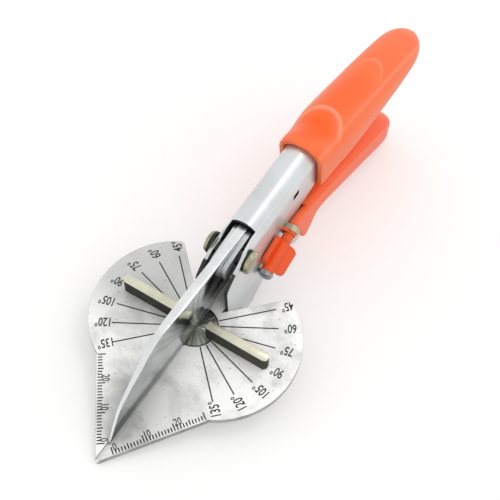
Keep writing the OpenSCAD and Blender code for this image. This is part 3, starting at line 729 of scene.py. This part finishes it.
class Solid:
    """Short calls for making finished meshes at the origin."""

    merge_mm = 0.001
    flat_deg = 0.4
    cap_share = 0.7
    stroke_share = 0.018
    curve_steps = 4

    @staticmethod
    def place(name: str, mesh: Mesh, body: Body, *finishes: Finish) -> Object:
        """Puts a mesh in the scene and rides it on a body.

        Args:
            name: The piece's name.
            mesh: Its mesh, already in the part's frame.
            body: The body that it moves with.
            finishes: Its finishes, in the order of its faces' material numbers.

        Returns:
            The new object.
        """
        numbers = [face.material_index for face in mesh.polygons]
        mesh.materials.clear()
        for finish in finishes:
            mesh.materials.append(finish.material())
        mesh.polygons.foreach_set("material_index", numbers)
        piece = linked(name, mesh)
        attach(piece, body.value)
        LOG.info("made %s with %d faces", name, len(mesh.polygons))
        return piece

    @staticmethod
    def stand_for(node: str, mesh: Mesh, *finishes: Finish) -> None:
        """Puts a finer mesh in the place of a node.

        Args:
            node: The node's name.
            mesh: The finer mesh.
            finishes: Its finishes.
        """
        body = Body(body_of(frame["nodes"][node])[0])
        piece = Solid.place(f"{node}_finished", mesh, body, *finishes)
        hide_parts(node)

    @staticmethod
    def dress(node: str, finish: Finish) -> None:
        """Gives a node that is kept its finish.

        Args:
            node: The node's name.
            finish: Its finish.
        """
        mesh = frame["nodes"][node].data
        mesh.materials.clear()
        mesh.materials.append(finish.material())
        LOG.info("dressed %s as %s", node, finish.value.name)

    @staticmethod
    def made(name: str, work: bmesh.types.BMesh) -> Mesh:
        """Plain mesh of edited geometry, which is freed.

        Args:
            name: The mesh's name.
            work: The edited geometry.

        Returns:
            The new mesh.
        """
        mesh = bpy.data.meshes.new(name)
        work.to_mesh(mesh)
        work.free()
        return mesh

    @staticmethod
    def smoothed(mesh: Mesh, limit_deg: float = SHARP_DEG) -> Mesh:
        """Shades a mesh smoothly up to an angle between faces.

        Args:
            mesh: The mesh.
            limit_deg: Angle past which an edge stays sharp.

        Returns:
            The same mesh.
        """
        mesh.polygons.foreach_set("use_smooth", [True] * len(mesh.polygons))
        mesh.set_sharp_from_angle(angle=math.radians(limit_deg))
        return mesh

    @staticmethod
    def copied(node: str, limit_deg: float = SHARP_DEG, ease: float = 0.0, steps: int = 2,
               chosen: Callable[[Vector], bool] = lambda point: True) -> Mesh:
        """Merged copy of a node's mesh with chosen sharp edges eased and its round faces smooth.

        Args:
            node: The node's name.
            limit_deg: Angle past which an edge counts as sharp.
            ease: Width of the eased edges in millimetres, or 0 for none.
            steps: Steps across an eased edge.
            chosen: Tells by an edge's middle, in plate millimetres, whether it is eased.

        Returns:
            The new mesh.
        """
        work = bmesh.new()
        work.from_mesh(frame["nodes"][node].data)
        bmesh.ops.remove_doubles(work, verts=work.verts, dist=Solid.merge_mm * MM)
        bmesh.ops.dissolve_limit(work, angle_limit=math.radians(Solid.flat_deg), verts=work.verts,
                                 edges=work.edges)
        if ease:
            to_plate, limit = PLATE.inverse(), math.radians(limit_deg)
            sharp = [edge for edge in work.edges if edge.is_manifold and edge.calc_face_angle() > limit
                     and chosen(to_plate @ ((edge.verts[0].co + edge.verts[1].co) / 2))]
            bmesh.ops.bevel(work, geom=sharp, offset=ease * MM, segments=steps, profile=0.5, affect="EDGES",
                            clamp_overlap=True)
        return Solid.smoothed(Solid.made(f"{node}_finished", work), limit_deg)

    @staticmethod
    def baked(source: Object) -> Mesh:
        """Plain mesh of an object with its modifiers applied; the object is removed.

        Args:
            source: The object to bake.

        Returns:
            The new mesh.
        """
        graph = bpy.context.evaluated_depsgraph_get()
        mesh = bpy.data.meshes.new_from_object(source.evaluated_get(graph), depsgraph=graph)
        bpy.data.objects.remove(source)
        return mesh

    @staticmethod
    def cut(mesh: Mesh, tool: Mesh) -> Mesh:
        """Cuts one mesh with another.

        Args:
            mesh: The mesh that is cut.
            tool: The closed mesh that is taken away.

        Returns:
            The new mesh.
        """
        kept, taken = linked("kept", mesh), linked("taken", tool)
        cutting = kept.modifiers.new("cut", "BOOLEAN")
        cutting.operation = "DIFFERENCE"
        cutting.solver = "EXACT"
        cutting.use_self = True
        cutting.object = taken
        result = Solid.baked(kept)
        bpy.data.objects.remove(taken)
        return result

    @staticmethod
    def blocks(name: str, size: float, *places: Callable[[Vector], Vector]) -> Mesh:
        """Blocks from cubes whose corners are moved.

        Args:
            name: The mesh's name.
            size: Side of the cubes.
            places: For each block, where a corner of its cube goes in the part's frame.

        Returns:
            The mesh.
        """
        work = bmesh.new()
        for place in places:
            for vertex in bmesh.ops.create_cube(work, size=size)["verts"]:
                vertex.co = place(vertex.co)
        return Solid.made(name, work)

    @staticmethod
    def swept(name: str, rings: list[list[Vector]]) -> Mesh:
        """Closed mesh through rings of plate points.

        Args:
            name: The mesh's name.
            rings: The rings in order, each with as many points as the next.

        Returns:
            The mesh in the part's frame.
        """
        work = bmesh.new()
        loops = [[work.verts.new(PLATE.matrix() @ point) for point in ring] for ring in rings]
        for start, end in zip(loops, loops[1:]):
            for first in range(len(start)):
                second = (first + 1) % len(start)
                work.faces.new((start[first], start[second], end[second], end[first]))
        work.faces.new(loops[0][::-1])
        work.faces.new(loops[-1])
        bmesh.ops.recalc_face_normals(work, faces=work.faces)
        return Solid.made(name, work)

    @staticmethod
    def sided(mesh: Mesh, share: float) -> Mesh:
        """Numbers the faces that look up from the plate 0 and the others 1.

        Args:
            mesh: The mesh.
            share: The least share of the plate's normal in a face's own that counts as up.

        Returns:
            The mesh.
        """
        up = -(PLATE.matrix().to_3x3() @ DOWN).normalized()
        for face in mesh.polygons:
            face.material_index = 0 if face.normal.dot(up) > share else 1
        return mesh

    @staticmethod
    def words(text: str, height: float, narrow: float, place: Matrix) -> Mesh:
        """Flat mesh of a short text, centred on its own middle.

        Args:
            text: The text.
            height: Height of a figure, in the units of place.
            narrow: Width as a share of the font's own.
            place: Where the text's middle, baseline and up direction go.

        Returns:
            The text's mesh.
        """
        curve = bpy.data.curves.new("figures", "FONT")
        curve.body = text
        curve.size = height / Solid.cap_share
        curve.resolution_u = Solid.curve_steps
        curve.offset = Solid.stroke_share * curve.size
        curve.fill_mode = "FRONT"
        mesh = Solid.baked(linked("figures", curve))
        xs = [vertex.co.x for vertex in mesh.vertices]
        ys = [vertex.co.y for vertex in mesh.vertices]
        middle = Vector((min(xs) + max(xs), min(ys) + max(ys), 0)) / 2
        mesh.transform(place @ Matrix.Diagonal((narrow, 1, 1, 1)) @ Matrix.Translation(-middle))
        return mesh

    @staticmethod
    def joined(name: str, meshes: list[Mesh]) -> Mesh:
        """One mesh from several.

        Args:
            name: Name of the new mesh.
            meshes: The meshes to join.

        Returns:
            The joined mesh.
        """
        work = bmesh.new()
        for mesh in meshes:
            work.from_mesh(mesh)
        return Solid.made(name, work)

    @staticmethod
    def printed(name: str, meshes: list[Mesh]) -> None:
        """Prints meshes on the anvil plate as one piece."""
        Solid.place(name, Solid.joined(name, meshes), Body.FRAME, Finish.INK)


def on_plate(spot: Vector, across: Vector, lift: float, up: Vector | None = None) -> Matrix:
    """Place of flat printing on the plate.

    Args:
        spot: Its origin on the plate, in plate millimetres.
        across: Unit direction of its own X.
        lift: Height above the plate's top face.
        up: Unit direction of its own Y, or none for a quarter turn to the left of its X.

    Returns:
        The place as a matrix from the printing's own plane to the part's frame.
    """
    if up is None:
        up = Vector((-across.y, across.x))
    return PLATE.matrix() @ Matrix((
        (across.x, up.x, 0, spot.x), (across.y, up.y, 0, spot.y), (0, 0, 1, lift), (0, 0, 0, 1)))


class MarkTree(GroupTree):
    """Geometry Nodes tree that repeats a printed line, fanned about a centre or stepped along an edge."""

    ten, five = 10.0, 5.0

    def __init__(self, name: str, values: dict[str, float]) -> None:
        """Makes the empty tree with its named inputs.

        Args:
            name: The tree's name.
            values: Values of its number inputs.
        """
        kinds = {"Geometry": "Geometry", **dict.fromkeys(values, "Float"), "Ink": "Material"}
        super().__init__(name, "GeometryNodeTree", kinds, {"Geometry": "Geometry"})
        self.name = name
        self.values = {key: float(value) for key, value in values.items()}

    def finish(self, points: Socket, mark: Socket, **places: object) -> Mesh:
        """Puts the mark on each point, realizes the copies, inks them and runs the tree.

        Args:
            points: The points.
            mark: The mark's mesh.
            places: Rotation or Scale of the copies.

        Returns:
            The plain mesh of all marks.
        """
        copies = self.add("GeometryNodeInstanceOnPoints", Points=points, Instance=mark, **places)
        real = self.add("GeometryNodeRealizeInstances", Geometry=copies.outputs["Instances"])
        inked = self.add("GeometryNodeSetMaterial", Geometry=real.outputs["Geometry"],
                         Material=self.given["Ink"])
        holder = linked(self.name, bpy.data.meshes.new(self.name))
        modifier = holder.modifiers.new("marks", "NODES")
        modifier.node_group = self.give(Geometry=inked.outputs["Geometry"])
        values = {**self.values, "Ink": Finish.INK.material()}
        for item in self.tree.interface.items_tree:
            if item.in_out == "INPUT" and item.name in values:
                modifier[item.identifier] = values[item.name]
        return Solid.baked(holder)

    def fan(self) -> Mesh:
        """Lines that fan out from the centre, from Count, First Angle, Step, Inner, Outer and Width.

        Returns:
            The lines' mesh, in the units of the inputs.
        """
        given = self.given
        points = self.add("GeometryNodePoints", Count=given["Count"])
        length = self.math("SUBTRACT", given["Outer"], given["Inner"])
        line = self.add("GeometryNodeMeshGrid", Size_X=length, Size_Y=given["Width"], Vertices_X=2,
                        Vertices_Y=2)
        middle = self.math("MULTIPLY", self.math("ADD", given["Outer"], given["Inner"]), 0.5)
        shift = self.add("ShaderNodeCombineXYZ", X=middle)
        outward = self.add("GeometryNodeTransform", Geometry=line.outputs["Mesh"],
                           Translation=shift.outputs["Vector"])
        index = self.add("GeometryNodeInputIndex").outputs[0]
        degrees = self.math("ADD", given["First Angle"], self.math("MULTIPLY", index, given["Step"]))
        turn = self.add("ShaderNodeCombineXYZ", Z=self.math("RADIANS", degrees))
        return self.finish(points.outputs[0], outward.outputs["Geometry"], Rotation=turn.outputs["Vector"])

    def ruler(self) -> Mesh:
        """Marks along +X that stand towards +Y, from Count, Spacing, Width, Short, Middle and Long.

        Returns:
            The marks' mesh, in the units of the inputs.
        """
        given = self.given
        index = self.add("GeometryNodeInputIndex").outputs[0]
        along = self.add("ShaderNodeCombineXYZ", X=self.math("MULTIPLY", index, given["Spacing"]))
        points = self.add("GeometryNodePoints", Count=given["Count"], Position=along.outputs["Vector"])
        mark = self.add("GeometryNodeMeshGrid", Vertices_X=2, Vertices_Y=2)
        stand = self.add("GeometryNodeTransform", Geometry=mark.outputs["Mesh"], Translation=(0, 0.5, 0))
        length = given["Short"]
        for every, longer, shorter in ((self.five, "Middle", "Short"), (self.ten, "Long", "Middle")):
            due = self.math("LESS_THAN", self.math("MODULO", index, every), 0.5)
            more = self.math("MULTIPLY", due, self.math("SUBTRACT", given[longer], given[shorter]))
            length = self.math("ADD", length, more)
        size = self.add("ShaderNodeCombineXYZ", X=given["Width"], Y=length, Z=1.0)
        return self.finish(points.outputs[0], stand.outputs["Geometry"], Scale=size.outputs["Vector"])


# Sub-assemblies


@dataclass
class AngleScale:
    """Angle lines and figures printed on the anvil plate, in plate millimetres and degrees."""

    inner: float = 7.9
    outer: float = 27.4
    line_w: float = 0.44
    figure_h: float = 3.1
    figure_w: float = 0.68
    figure_r: float = 31.3
    lift: float = 0.015
    first: int = 45
    last: int = 135
    step: int = 15
    square: int = 90
    close_from: int = 100
    close_rate: float = 0.045

    def _figure(self, side: Side, angle: int) -> Mesh:
        """One angle's figure, which closes in on the centre towards the tip.

        Args:
            side: The side of the plate.
            angle: The angle.

        Returns:
            The figure's mesh.
        """
        turn = math.radians(angle)
        out = Vector((side.value * math.sin(turn), math.cos(turn)))
        radius = self.figure_r - max(0, angle - self.close_from) * self.close_rate
        place = on_plate(out * radius, -side.value * out, self.lift)
        return Solid.words(f"{angle}°", self.figure_h, self.figure_w, place)

    def build(self) -> None:
        """Prints the lines and the figures."""
        angles = range(self.first, self.last + self.step, self.step)
        lines, figures = [], []
        for side in Side:
            first = self.square - self.last if side is Side.RIGHT else self.square + self.first
            mesh = MarkTree(f"angle_fan_{side.word}", {
                "Count": len(angles), "First Angle": first, "Step": self.step, "Inner": self.inner,
                "Outer": self.outer, "Width": self.line_w}).fan()
            mesh.transform(PLATE.matrix() @ Matrix.Translation((0, 0, self.lift)))
            lines.append(mesh)
            figures += [self._figure(side, angle) for angle in angles]
        Solid.printed("angle_lines", lines)
        Solid.printed("angle_figures", figures)


@dataclass
class EdgeRuler:
    """Ruler marks and figures printed along the plate's two front edges, in plate millimetres."""

    start: Span = (3.15, -49.7)
    slope_deg: float = 54.2
    count: int = 31
    spacing: float = 1.0
    width: float = 0.42
    short: float = 1.5
    middle: float = 1.9
    long: float = 2.5
    figure_h: float = 2.4
    figure_w: float = 0.72
    lift: float = 0.015
    figures: tuple[tuple[str, float, float], ...] = (
        ("0", 2.0, -47.5), ("10", 8.1, -38.8), ("20", 13.7, -30.6))

    def build(self) -> None:
        """Prints the marks and the figures."""
        slope = math.radians(self.slope_deg)
        marks, words = [], []
        for side in Side:
            along = Vector((side.value * math.cos(slope), math.sin(slope)))
            inward = Vector((-side.value * math.sin(slope), math.cos(slope)))
            mesh = MarkTree(f"ruler_{side.word}", {
                "Count": self.count, "Spacing": self.spacing, "Width": self.width, "Short": self.short,
                "Middle": self.middle, "Long": self.long}).ruler()
            first = Vector((side.value * self.start[0], self.start[1]))
            mesh.transform(on_plate(first, along, self.lift, inward))
            if side is Side.LEFT:
                mesh.flip_normals()
            marks.append(mesh)
            for text, x, y in self.figures:
                place = on_plate(Vector((side.value * x, y)), side.value * along, self.lift)
                words.append(Solid.words(text, self.figure_h, self.figure_w, place))
        Solid.printed("ruler_marks", marks)
        Solid.printed("ruler_figures", words)


@dataclass
class AnvilPlate:
    """The plate with its insert, fence bars, scales and hidden fasteners; sizes in millimetres."""

    rim_ease: float = 0.85
    rim_steps: int = 3
    rim_near: float = 0.05
    top_share: float = 0.97
    bar_ease: float = 0.25
    bar_from: float = 3.0
    bar_share: float = 0.3
    insert_keep: float = 9.0
    insert_ease: float = 0.45
    insert_near: float = 0.1
    groove_keep: float = 1.2
    scale: AngleScale = field(default_factory=AngleScale)
    ruler: EdgeRuler = field(default_factory=EdgeRuler)

    def _on_rim(self, point: Vector) -> bool:
        """Tells whether a point lies on the plate's upper outer edge."""
        outside = point.xy.length > self.insert_keep and abs(point.x) > self.groove_keep
        return abs(point.z) < self.rim_near and outside

    def _insert(self) -> Mesh:
        """Copy of the turned insert with its upper outer edge broken.

        Returns:
            Mesh with the top's faces numbered 0 and those of the broken edge and the side 1.
        """
        to_plate = PLATE.inverse()
        spots = [to_plate @ vertex.co for vertex in frame["nodes"]["anvil_insert"].data.vertices]
        top = max(spot.z for spot in spots) - self.insert_near
        reach = max(spot.x for spot in spots) - self.insert_near
        mesh = Solid.copied("anvil_insert", ease=self.insert_ease,
                            chosen=lambda point: point.z > top and point.xy.length > reach)
        return Solid.sided(mesh, self.top_share)

    def build(self) -> None:
        """Builds the finer plate, insert and bars, prints the scales and dresses the fasteners."""
        plate = Solid.copied("base_plate", ease=self.rim_ease, steps=self.rim_steps, chosen=self._on_rim)
        # The plate's top takes the alloy, its sides and eased edge the painted-shade copy.
        Solid.stand_for("base_plate", Solid.sided(plate, self.top_share), Finish.ALLOY, Finish.EDGE)
        Solid.stand_for("anvil_insert", self._insert(), Finish.TURNED, Finish.DARK)
        for side in Side:
            bar = f"fence_bar_{side.word}"
            mesh = Solid.copied(bar, ease=self.bar_ease, chosen=lambda point: point.z > self.bar_from)
            # Bar tops take the nickel and their sides the painted-shade copy.
            Solid.stand_for(bar, Solid.sided(mesh, self.bar_share), Finish.NICKEL, Finish.OLIVE)
            for end in ("inner", "outer"):
                Solid.dress(f"fence_screw_{side.word}_{end}", Finish.DARK)
        for rivet in ("plate_rivet_front", "plate_rivet_rear"):
            Solid.dress(rivet, Finish.PLATED)
        self.scale.build()
        self.ruler.build()


@dataclass
class ChannelFrame:
    """The plated channel with the pivot's pieces and the return spring; sizes in plate millimetres."""

    inner_half: float = 4.95
    outer_half: float = 6.3
    channel_mid: float = 17.5
    front_share: float = -0.3
    slot_at: Span = (53.6, 14.8)
    slot_size: Span = (3.6, 2.6)
    slot_tool: float = 4.0
    head_ease: float = 0.4
    head_steps: int = 3
    head_from: float = 8.2

    def _zone(self, spot: Vector, normal: Vector) -> int:
        """Finish number of a face of the channel.

        Args:
            spot: The face's middle in plate millimetres.
            normal: Its direction in the plate's axes.

        Returns:
            1 inside, in the short slot and on the walls' front edges, all painted shade, 2 on the latch's lug
            and 0 elsewhere.
        """
        inward = normal.z * (self.channel_mid - spot.z) - normal.x * spot.x
        inside = abs(spot.x) < self.inner_half and inward > 0
        near = max(abs(spot.y - self.slot_at[0]), abs(spot.z - self.slot_at[1])) < self.slot_size[0]
        in_slot = near and spot.x > 0 and abs(normal.x) < normal.yz.length
        front = normal.y < self.front_share * normal.length and spot.z < self.channel_mid
        # These faces get the near-black painted shade.
        if inside or in_slot or front:
            return 1
        return 2 if spot.x > self.outer_half else 0

    def _slot_corner(self, spot: Vector) -> Vector:
        """Where a corner of a unit cube goes to make the tool for the short slot.

        Args:
            spot: The cube's corner.

        Returns:
            The tool's corner in the part's frame.
        """
        return PLATE.matrix() @ Vector((
            self.outer_half + self.slot_tool * spot.x, self.slot_at[0] + spot.y * self.slot_size[0],
            self.slot_at[1] + spot.z * self.slot_size[1]))

    def _channel(self) -> Mesh:
        """Copy of the channel with its short slot cut and its faces numbered.

        Returns:
            The channel's mesh.
        """
        tool = Solid.blocks("slot", 1, self._slot_corner)
        mesh = Solid.smoothed(Solid.cut(Solid.copied("frame"), tool))
        to_plate = PLATE.inverse()
        for face in mesh.polygons:
            face.material_index = self._zone(to_plate @ face.center, to_plate.to_3x3() @ face.normal)
        return mesh

    def build(self) -> None:
        """Builds smooth copies of the channel and the pivot's pieces and dresses the return spring."""
        Solid.stand_for("frame", self._channel(), Finish.PLATED, Finish.INNER, Finish.MOULDED)
        for node in ("pivot_bolt", "pivot_nut"):
            head = Solid.copied(node, ease=self.head_ease, steps=self.head_steps,
                                chosen=lambda point: abs(point.x) > self.head_from)
            Solid.stand_for(node, head, Finish.GOLD)
        for side in Side:
            # The washers are blackened as painted shade beside the pivot heads; the spacers take the same
            # finish.
            for node in (f"pivot_washer_{side.word}", f"pivot_spacer_{side.word}"):
                Solid.stand_for(node, Solid.copied(node), Finish.DARK)
        Solid.dress("return_spring", Finish.WIRE)


@dataclass
class CrossedLever:
    """The lever with its blade, blade screw and spring seat; sizes in plate millimetres."""

    spine_ease: float = 0.12
    spine_from: float = 6.0
    spine_share: float = 0.3

    def build(self) -> None:
        """Builds smooth copies of the lever, the blade and the screw and dresses the spring seat."""
        Solid.stand_for("lever", Solid.copied("lever"), Finish.PLATED)
        blade = Solid.copied("blade", ease=self.spine_ease, chosen=lambda point: point.z > self.spine_from)
        # The up-facing spine gets the painted-light copy of the steel, the sides the painted-shade copy.
        Solid.stand_for("blade", Solid.sided(blade, self.spine_share), Finish.SPINE, Finish.POLISHED)
        for node in ("blade_screw", "blade_nut"):
            Solid.stand_for(node, Solid.copied(node), Finish.PLATED)
        Solid.dress("spring_seat", Finish.DARK)


@dataclass
class SideLatch:
    """The latch with its screw and nut; sizes in millimetres."""

    ease: float = 0.55
    ease_steps: int = 3
    bore_keep: float = 2.1
    head_end: float = 2.32
    recess_depth: float = 1.1
    recess_l: float = 3.0
    recess_w: float = 0.75
    recess_over: float = 1.0

    def _axis(self) -> tuple[Vector, Vector]:
        """Point in metres and unit direction to the nut of the latch's screw, both from the joint."""
        joint = next(j for j in frame["record"]["behaviour"]["joints"] if j["name"] == "latch_turn")
        return Vector(joint["pos_m"]), Vector(joint["axis"]).normalized()

    def _off_bore(self, point: Vector) -> bool:
        """Tells whether a plate point lies away from the latch's bore."""
        start, along = self._axis()
        spot = PLATE.matrix() @ point - start
        return (spot - along * spot.dot(along)).length > self.bore_keep * MM

    def _cross(self) -> Mesh:
        """Tool for the cross recess in the screw's head.

        Returns:
            The tool's mesh in the part's frame.
        """
        start, along = self._axis()
        side = Vector((1, 0, 0))
        up = along.cross(side)
        centre = start - along * (self.head_end - self.recess_depth / 2 + self.recess_over / 2) * MM
        depth = self.recess_depth + self.recess_over

        def block(first: float, second: float) -> Callable[[Vector], Vector]:
            """Where the corners of one arm's cube go, for its two widths."""
            return lambda spot: centre + side * spot.x * first + up * spot.y * second + along * spot.z * depth

        arms = (block(self.recess_l, self.recess_w), block(self.recess_w, self.recess_l))
        return Solid.blocks("recess", MM, *arms)

    def build(self) -> None:
        """Builds the rounded latch, the screw with its recess and the nut."""
        latch = Solid.copied("latch", ease=self.ease, steps=self.ease_steps, chosen=self._off_bore)
        Solid.stand_for("latch", latch, Finish.MOULDED)
        screw = Solid.cut(Solid.copied("latch_screw"), self._cross())
        Solid.stand_for("latch_screw", Solid.smoothed(screw), Finish.CHROME)
        Solid.stand_for("latch_nut", Solid.copied("latch_nut"), Finish.GOLD)


@dataclass
class HandGrips:
    """The two sheathed handles; sizes in plate millimetres."""

    smooth_deg: float = 60.0
    cast_from: float = 60.0
    skin_sink: float = 0.08
    skin_t: float = 0.5
    skin_steps: int = 10
    skin_from: float = 60.0
    skin_to: float = 136.0
    skin_parts: int = 38
    skin_arch: float = 1.4
    arch_least: float = 0.05
    arch_front: float = 12.0
    arch_rear: float = 16.0
    probe_from: float = 4.0
    probe_to: float = 9.0
    probe_parts: int = 50
    bead_share: float = 0.8
    bead_h: float = 0.4
    bead_sink: float = 0.04
    bead_root: float = 0.3
    bead_end: float = 0.2
    bead_steps: int = 48
    bead_half_n: int = 4

    @staticmethod
    def _faces(mesh: Mesh) -> BVHTree:
        """Search tree of a mesh's faces in plate millimetres."""
        to_plate = PLATE.inverse()
        return BVHTree.FromPolygons([to_plate @ vertex.co for vertex in mesh.vertices],
                                    [list(face.vertices) for face in mesh.polygons])

    def _rim_at(self, tree: BVHTree, y: float) -> Span:
        """Rim of the lower handle's open top at one distance back.

        Args:
            tree: The lower grip's faces in plate millimetres.
            y: The distance back.

        Returns:
            The rim's height and the half width at which its outer edge rounds off.
        """
        spread = (self.probe_to - self.probe_from) / self.probe_parts
        starts = [Vector((self.probe_from + step * spread, y, self.cast_from))
                  for step in range(self.probe_parts)]
        hits = [tree.ray_cast(start, DOWN)[0] for start in starts]
        spots = [hit for hit in hits if hit is not None]
        level = max(spot.z for spot in spots)
        return level, max(spot.x for spot in spots if spot.z > level - self.skin_sink)

    def _skin(self, tree: BVHTree) -> Mesh:
        """Thin arched skin of the dipped grip across the lower handle's open top.

        Args:
            tree: The lower grip's faces in plate millimetres.

        Returns:
            The skin's mesh.
        """
        turns = [math.pi * step / self.skin_steps for step in range(self.skin_steps + 1)]
        rings = []
        for part in range(self.skin_parts + 1):
            y = self.skin_from + (self.skin_to - self.skin_from) * part / self.skin_parts
            level, half = self._rim_at(tree, y)
            near = min((y - self.skin_from) / self.arch_front, (self.skin_to - y) / self.arch_rear, 1.0)
            arch = max(self.arch_least, self.skin_arch * math.sqrt(1 - (1 - near) ** 2))
            root = level - self.skin_sink
            outline = [(half * math.cos(turn), root + arch * math.sin(turn)) for turn in turns]
            outline += [(-half, root - self.skin_t), (half, root - self.skin_t)]
            rings.append([Vector((x, y, z)) for x, z in outline])
        return Solid.swept("grip_skin", rings)

    def _bead(self, tree: BVHTree, rim: Rim, arc: Span) -> Mesh:
        """Low bead that lies on the upper grip along one arc of a rim.

        Args:
            tree: The upper grip's faces in plate millimetres.
            rim: The rim.
            arc: The arc's two angles in degrees.

        Returns:
            The bead's mesh.
        """
        half = self.bead_share * rim.width * min(rim.radii)
        rings = []
        for step in range(self.bead_steps + 1):
            along = step / self.bead_steps
            turn = math.radians(arc[0] + (arc[1] - arc[0]) * along)
            rise = self.bead_h * rim.height * min(1, along / self.bead_end, (1 - along) / self.bead_end)
            points = []
            for place in range(-self.bead_half_n, self.bead_half_n + 1):
                side = place / self.bead_half_n
                start = Vector((*rim.spot(turn, side * half), self.cast_from))
                spot, normal, _, _ = tree.ray_cast(start, DOWN)
                points.append(spot + normal * (rise * (1 - side * side) ** 2 - self.bead_sink))
            roots = [point + DOWN * self.bead_root for point in (points[-1], points[0])]
            rings.append(points + roots)
        return Solid.swept("grip_bead", rings)

    def build(self) -> None:
        """Builds smooth copies of the grips, the upper one with its rims and the lower one with its skin."""
        upper = Solid.copied("upper_grip", limit_deg=self.smooth_deg)
        tree = self._faces(upper)
        beads = [self._bead(tree, rim, arc) for rim in Finish.SHEATH.value.rims for arc in rim.arcs]
        upper = Solid.joined("upper_grip_finished", [upper, *beads])
        Solid.stand_for("upper_grip", Solid.smoothed(upper, self.smooth_deg), Finish.SHEATH)
        lower = Solid.copied("lower_grip")
        lower = Solid.joined("lower_grip_finished", [lower, self._skin(self._faces(lower))])
        Solid.stand_for("lower_grip", Solid.smoothed(lower, self.smooth_deg), Finish.VINYL)


# Studio


@dataclass(frozen=True)
class Lamp:
    """A soft square lamp that points at the shears; its place and side in metres, its power in watts."""

    name: str
    spot: tuple[float, float, float]
    size: float
    power: float

    def hang(self) -> None:
        """Hangs the lamp in the scene."""
        data = bpy.data.lights.new(self.name, "AREA")
        data.size = self.size
        data.energy = self.power
        lamp = linked(self.name, data)
        lamp.location = self.spot
        lamp.rotation_mode = "QUATERNION"
        lamp.rotation_quaternion = (-Vector(self.spot)).to_track_quat("-Z", "Y")


@dataclass
class Studio:
    """Camera, floor, light and world; the camera's angles and distances are in the plate's frame."""

    lens: float = 66.93
    sensor: float = 36.0
    clip: Span = (0.01, 20.0)
    azimuth: float = 29.587
    elevation: float = 58.511
    roll: float = 2.51
    distance: float = 305.175
    slide_x: float = -17.985
    slide_y: float = -24.81
    floor_half: float = 3.0
    floor_colour: Colour = (0.70, 0.70, 0.695)
    floor_glow: float = 0.32
    sky: float = 0.93
    lamps: tuple[Lamp, ...] = (Lamp("key", (1.30, -0.75, 1.35), 2.0, 4.0),
                               Lamp("window", (0.35, 0.40, 1.25), 0.35, 1.15))

    def camera(self) -> None:
        """Sets the camera at the photograph's angle over the plate."""
        turn, rise, roll = (math.radians(value) for value in (self.azimuth, self.elevation, self.roll))
        back = Vector((math.sin(turn) * math.cos(rise), -math.cos(turn) * math.cos(rise), math.sin(rise)))
        right = back.cross(DOWN).normalized()
        up = right.cross(-back)
        side = right * math.cos(roll) + up * math.sin(roll)
        top = up * math.cos(roll) - right * math.sin(roll)
        spot = back * self.distance - side * self.slide_x - top * self.slide_y
        plate = PLATE.matrix()
        axes = plate.to_3x3() * (1 / MM)
        data = bpy.data.cameras.new("camera")
        data.lens = self.lens
        data.sensor_width = self.sensor
        data.clip_start, data.clip_end = self.clip
        camera = linked("camera", data)
        turned = Matrix((axes @ side, axes @ top, axes @ back)).transposed()
        camera.matrix_world = Matrix.Translation(plate @ spot) @ turned.to_4x4()
        bpy.context.scene.camera = camera

    @staticmethod
    def _seen(tree: Tree) -> Socket:
        """Value that is 1 for camera, glossy and transmission rays.

        Args:
            tree: The node tree of the floor or the world.

        Returns:
            The value's socket.
        """
        rays = tree.add("ShaderNodeLightPath").outputs
        either = tree.math("MAXIMUM", rays["Is Camera Ray"], rays["Is Glossy Ray"])
        return tree.math("MAXIMUM", either, rays["Is Transmission Ray"])

    def floor(self) -> None:
        """Lays a pale floor that shows white where nothing shades it."""
        half = self.floor_half
        mesh = bpy.data.meshes.new("floor")
        corners = [(-half, -half, 0), (half, -half, 0), (half, half, 0), (-half, half, 0)]
        mesh.from_pydata(corners, [], [(0, 1, 2, 3)])
        floor = linked("floor", mesh)
        shade = Shade("pale_floor")
        matt = shade.add("ShaderNodeBsdfDiffuse", Color=(*self.floor_colour, 1.0))
        strength = shade.math("MULTIPLY", self._seen(shade), self.floor_glow)
        glow = shade.add("ShaderNodeEmission", Strength=strength)
        both = shade.add("ShaderNodeAddShader")
        shade.fill(both.inputs[0], matt.outputs["BSDF"])
        shade.fill(both.inputs[1], glow.outputs["Emission"])
        shade.fill(shade.out, both.outputs["Shader"])
        mesh.materials.append(shade.material)

    def light(self) -> None:
        """Hangs the lamps and sets a pale world."""
        for lamp in self.lamps:
            lamp.hang()
        world = bpy.data.worlds.new("studio")
        bpy.context.scene.world = world
        world.use_nodes = True
        tree = Tree(world.node_tree)
        ground = world.node_tree.nodes["Background"].inputs
        tree.fill(ground["Color"], (1, 1, 1, 1))
        tree.fill(ground["Strength"], tree.ranged(self._seen(tree), (0.0, 1.0), (self.sky, 1.0)))

    def build(self) -> None:
        """Builds the studio."""
        self.camera()
        self.floor()
        self.light()
        bpy.context.scene.view_settings.view_transform = "Standard"


def main() -> None:
    """Builds the studio and the sub-assemblies in order."""
    logging.basicConfig(level=logging.INFO, format="%(name)s: %(message)s")
    for assembly in (Studio(), AnvilPlate(), ChannelFrame(), CrossedLever(), SideLatch(), HandGrips()):
        assembly.build()


if __name__ == "__main__":
    main()
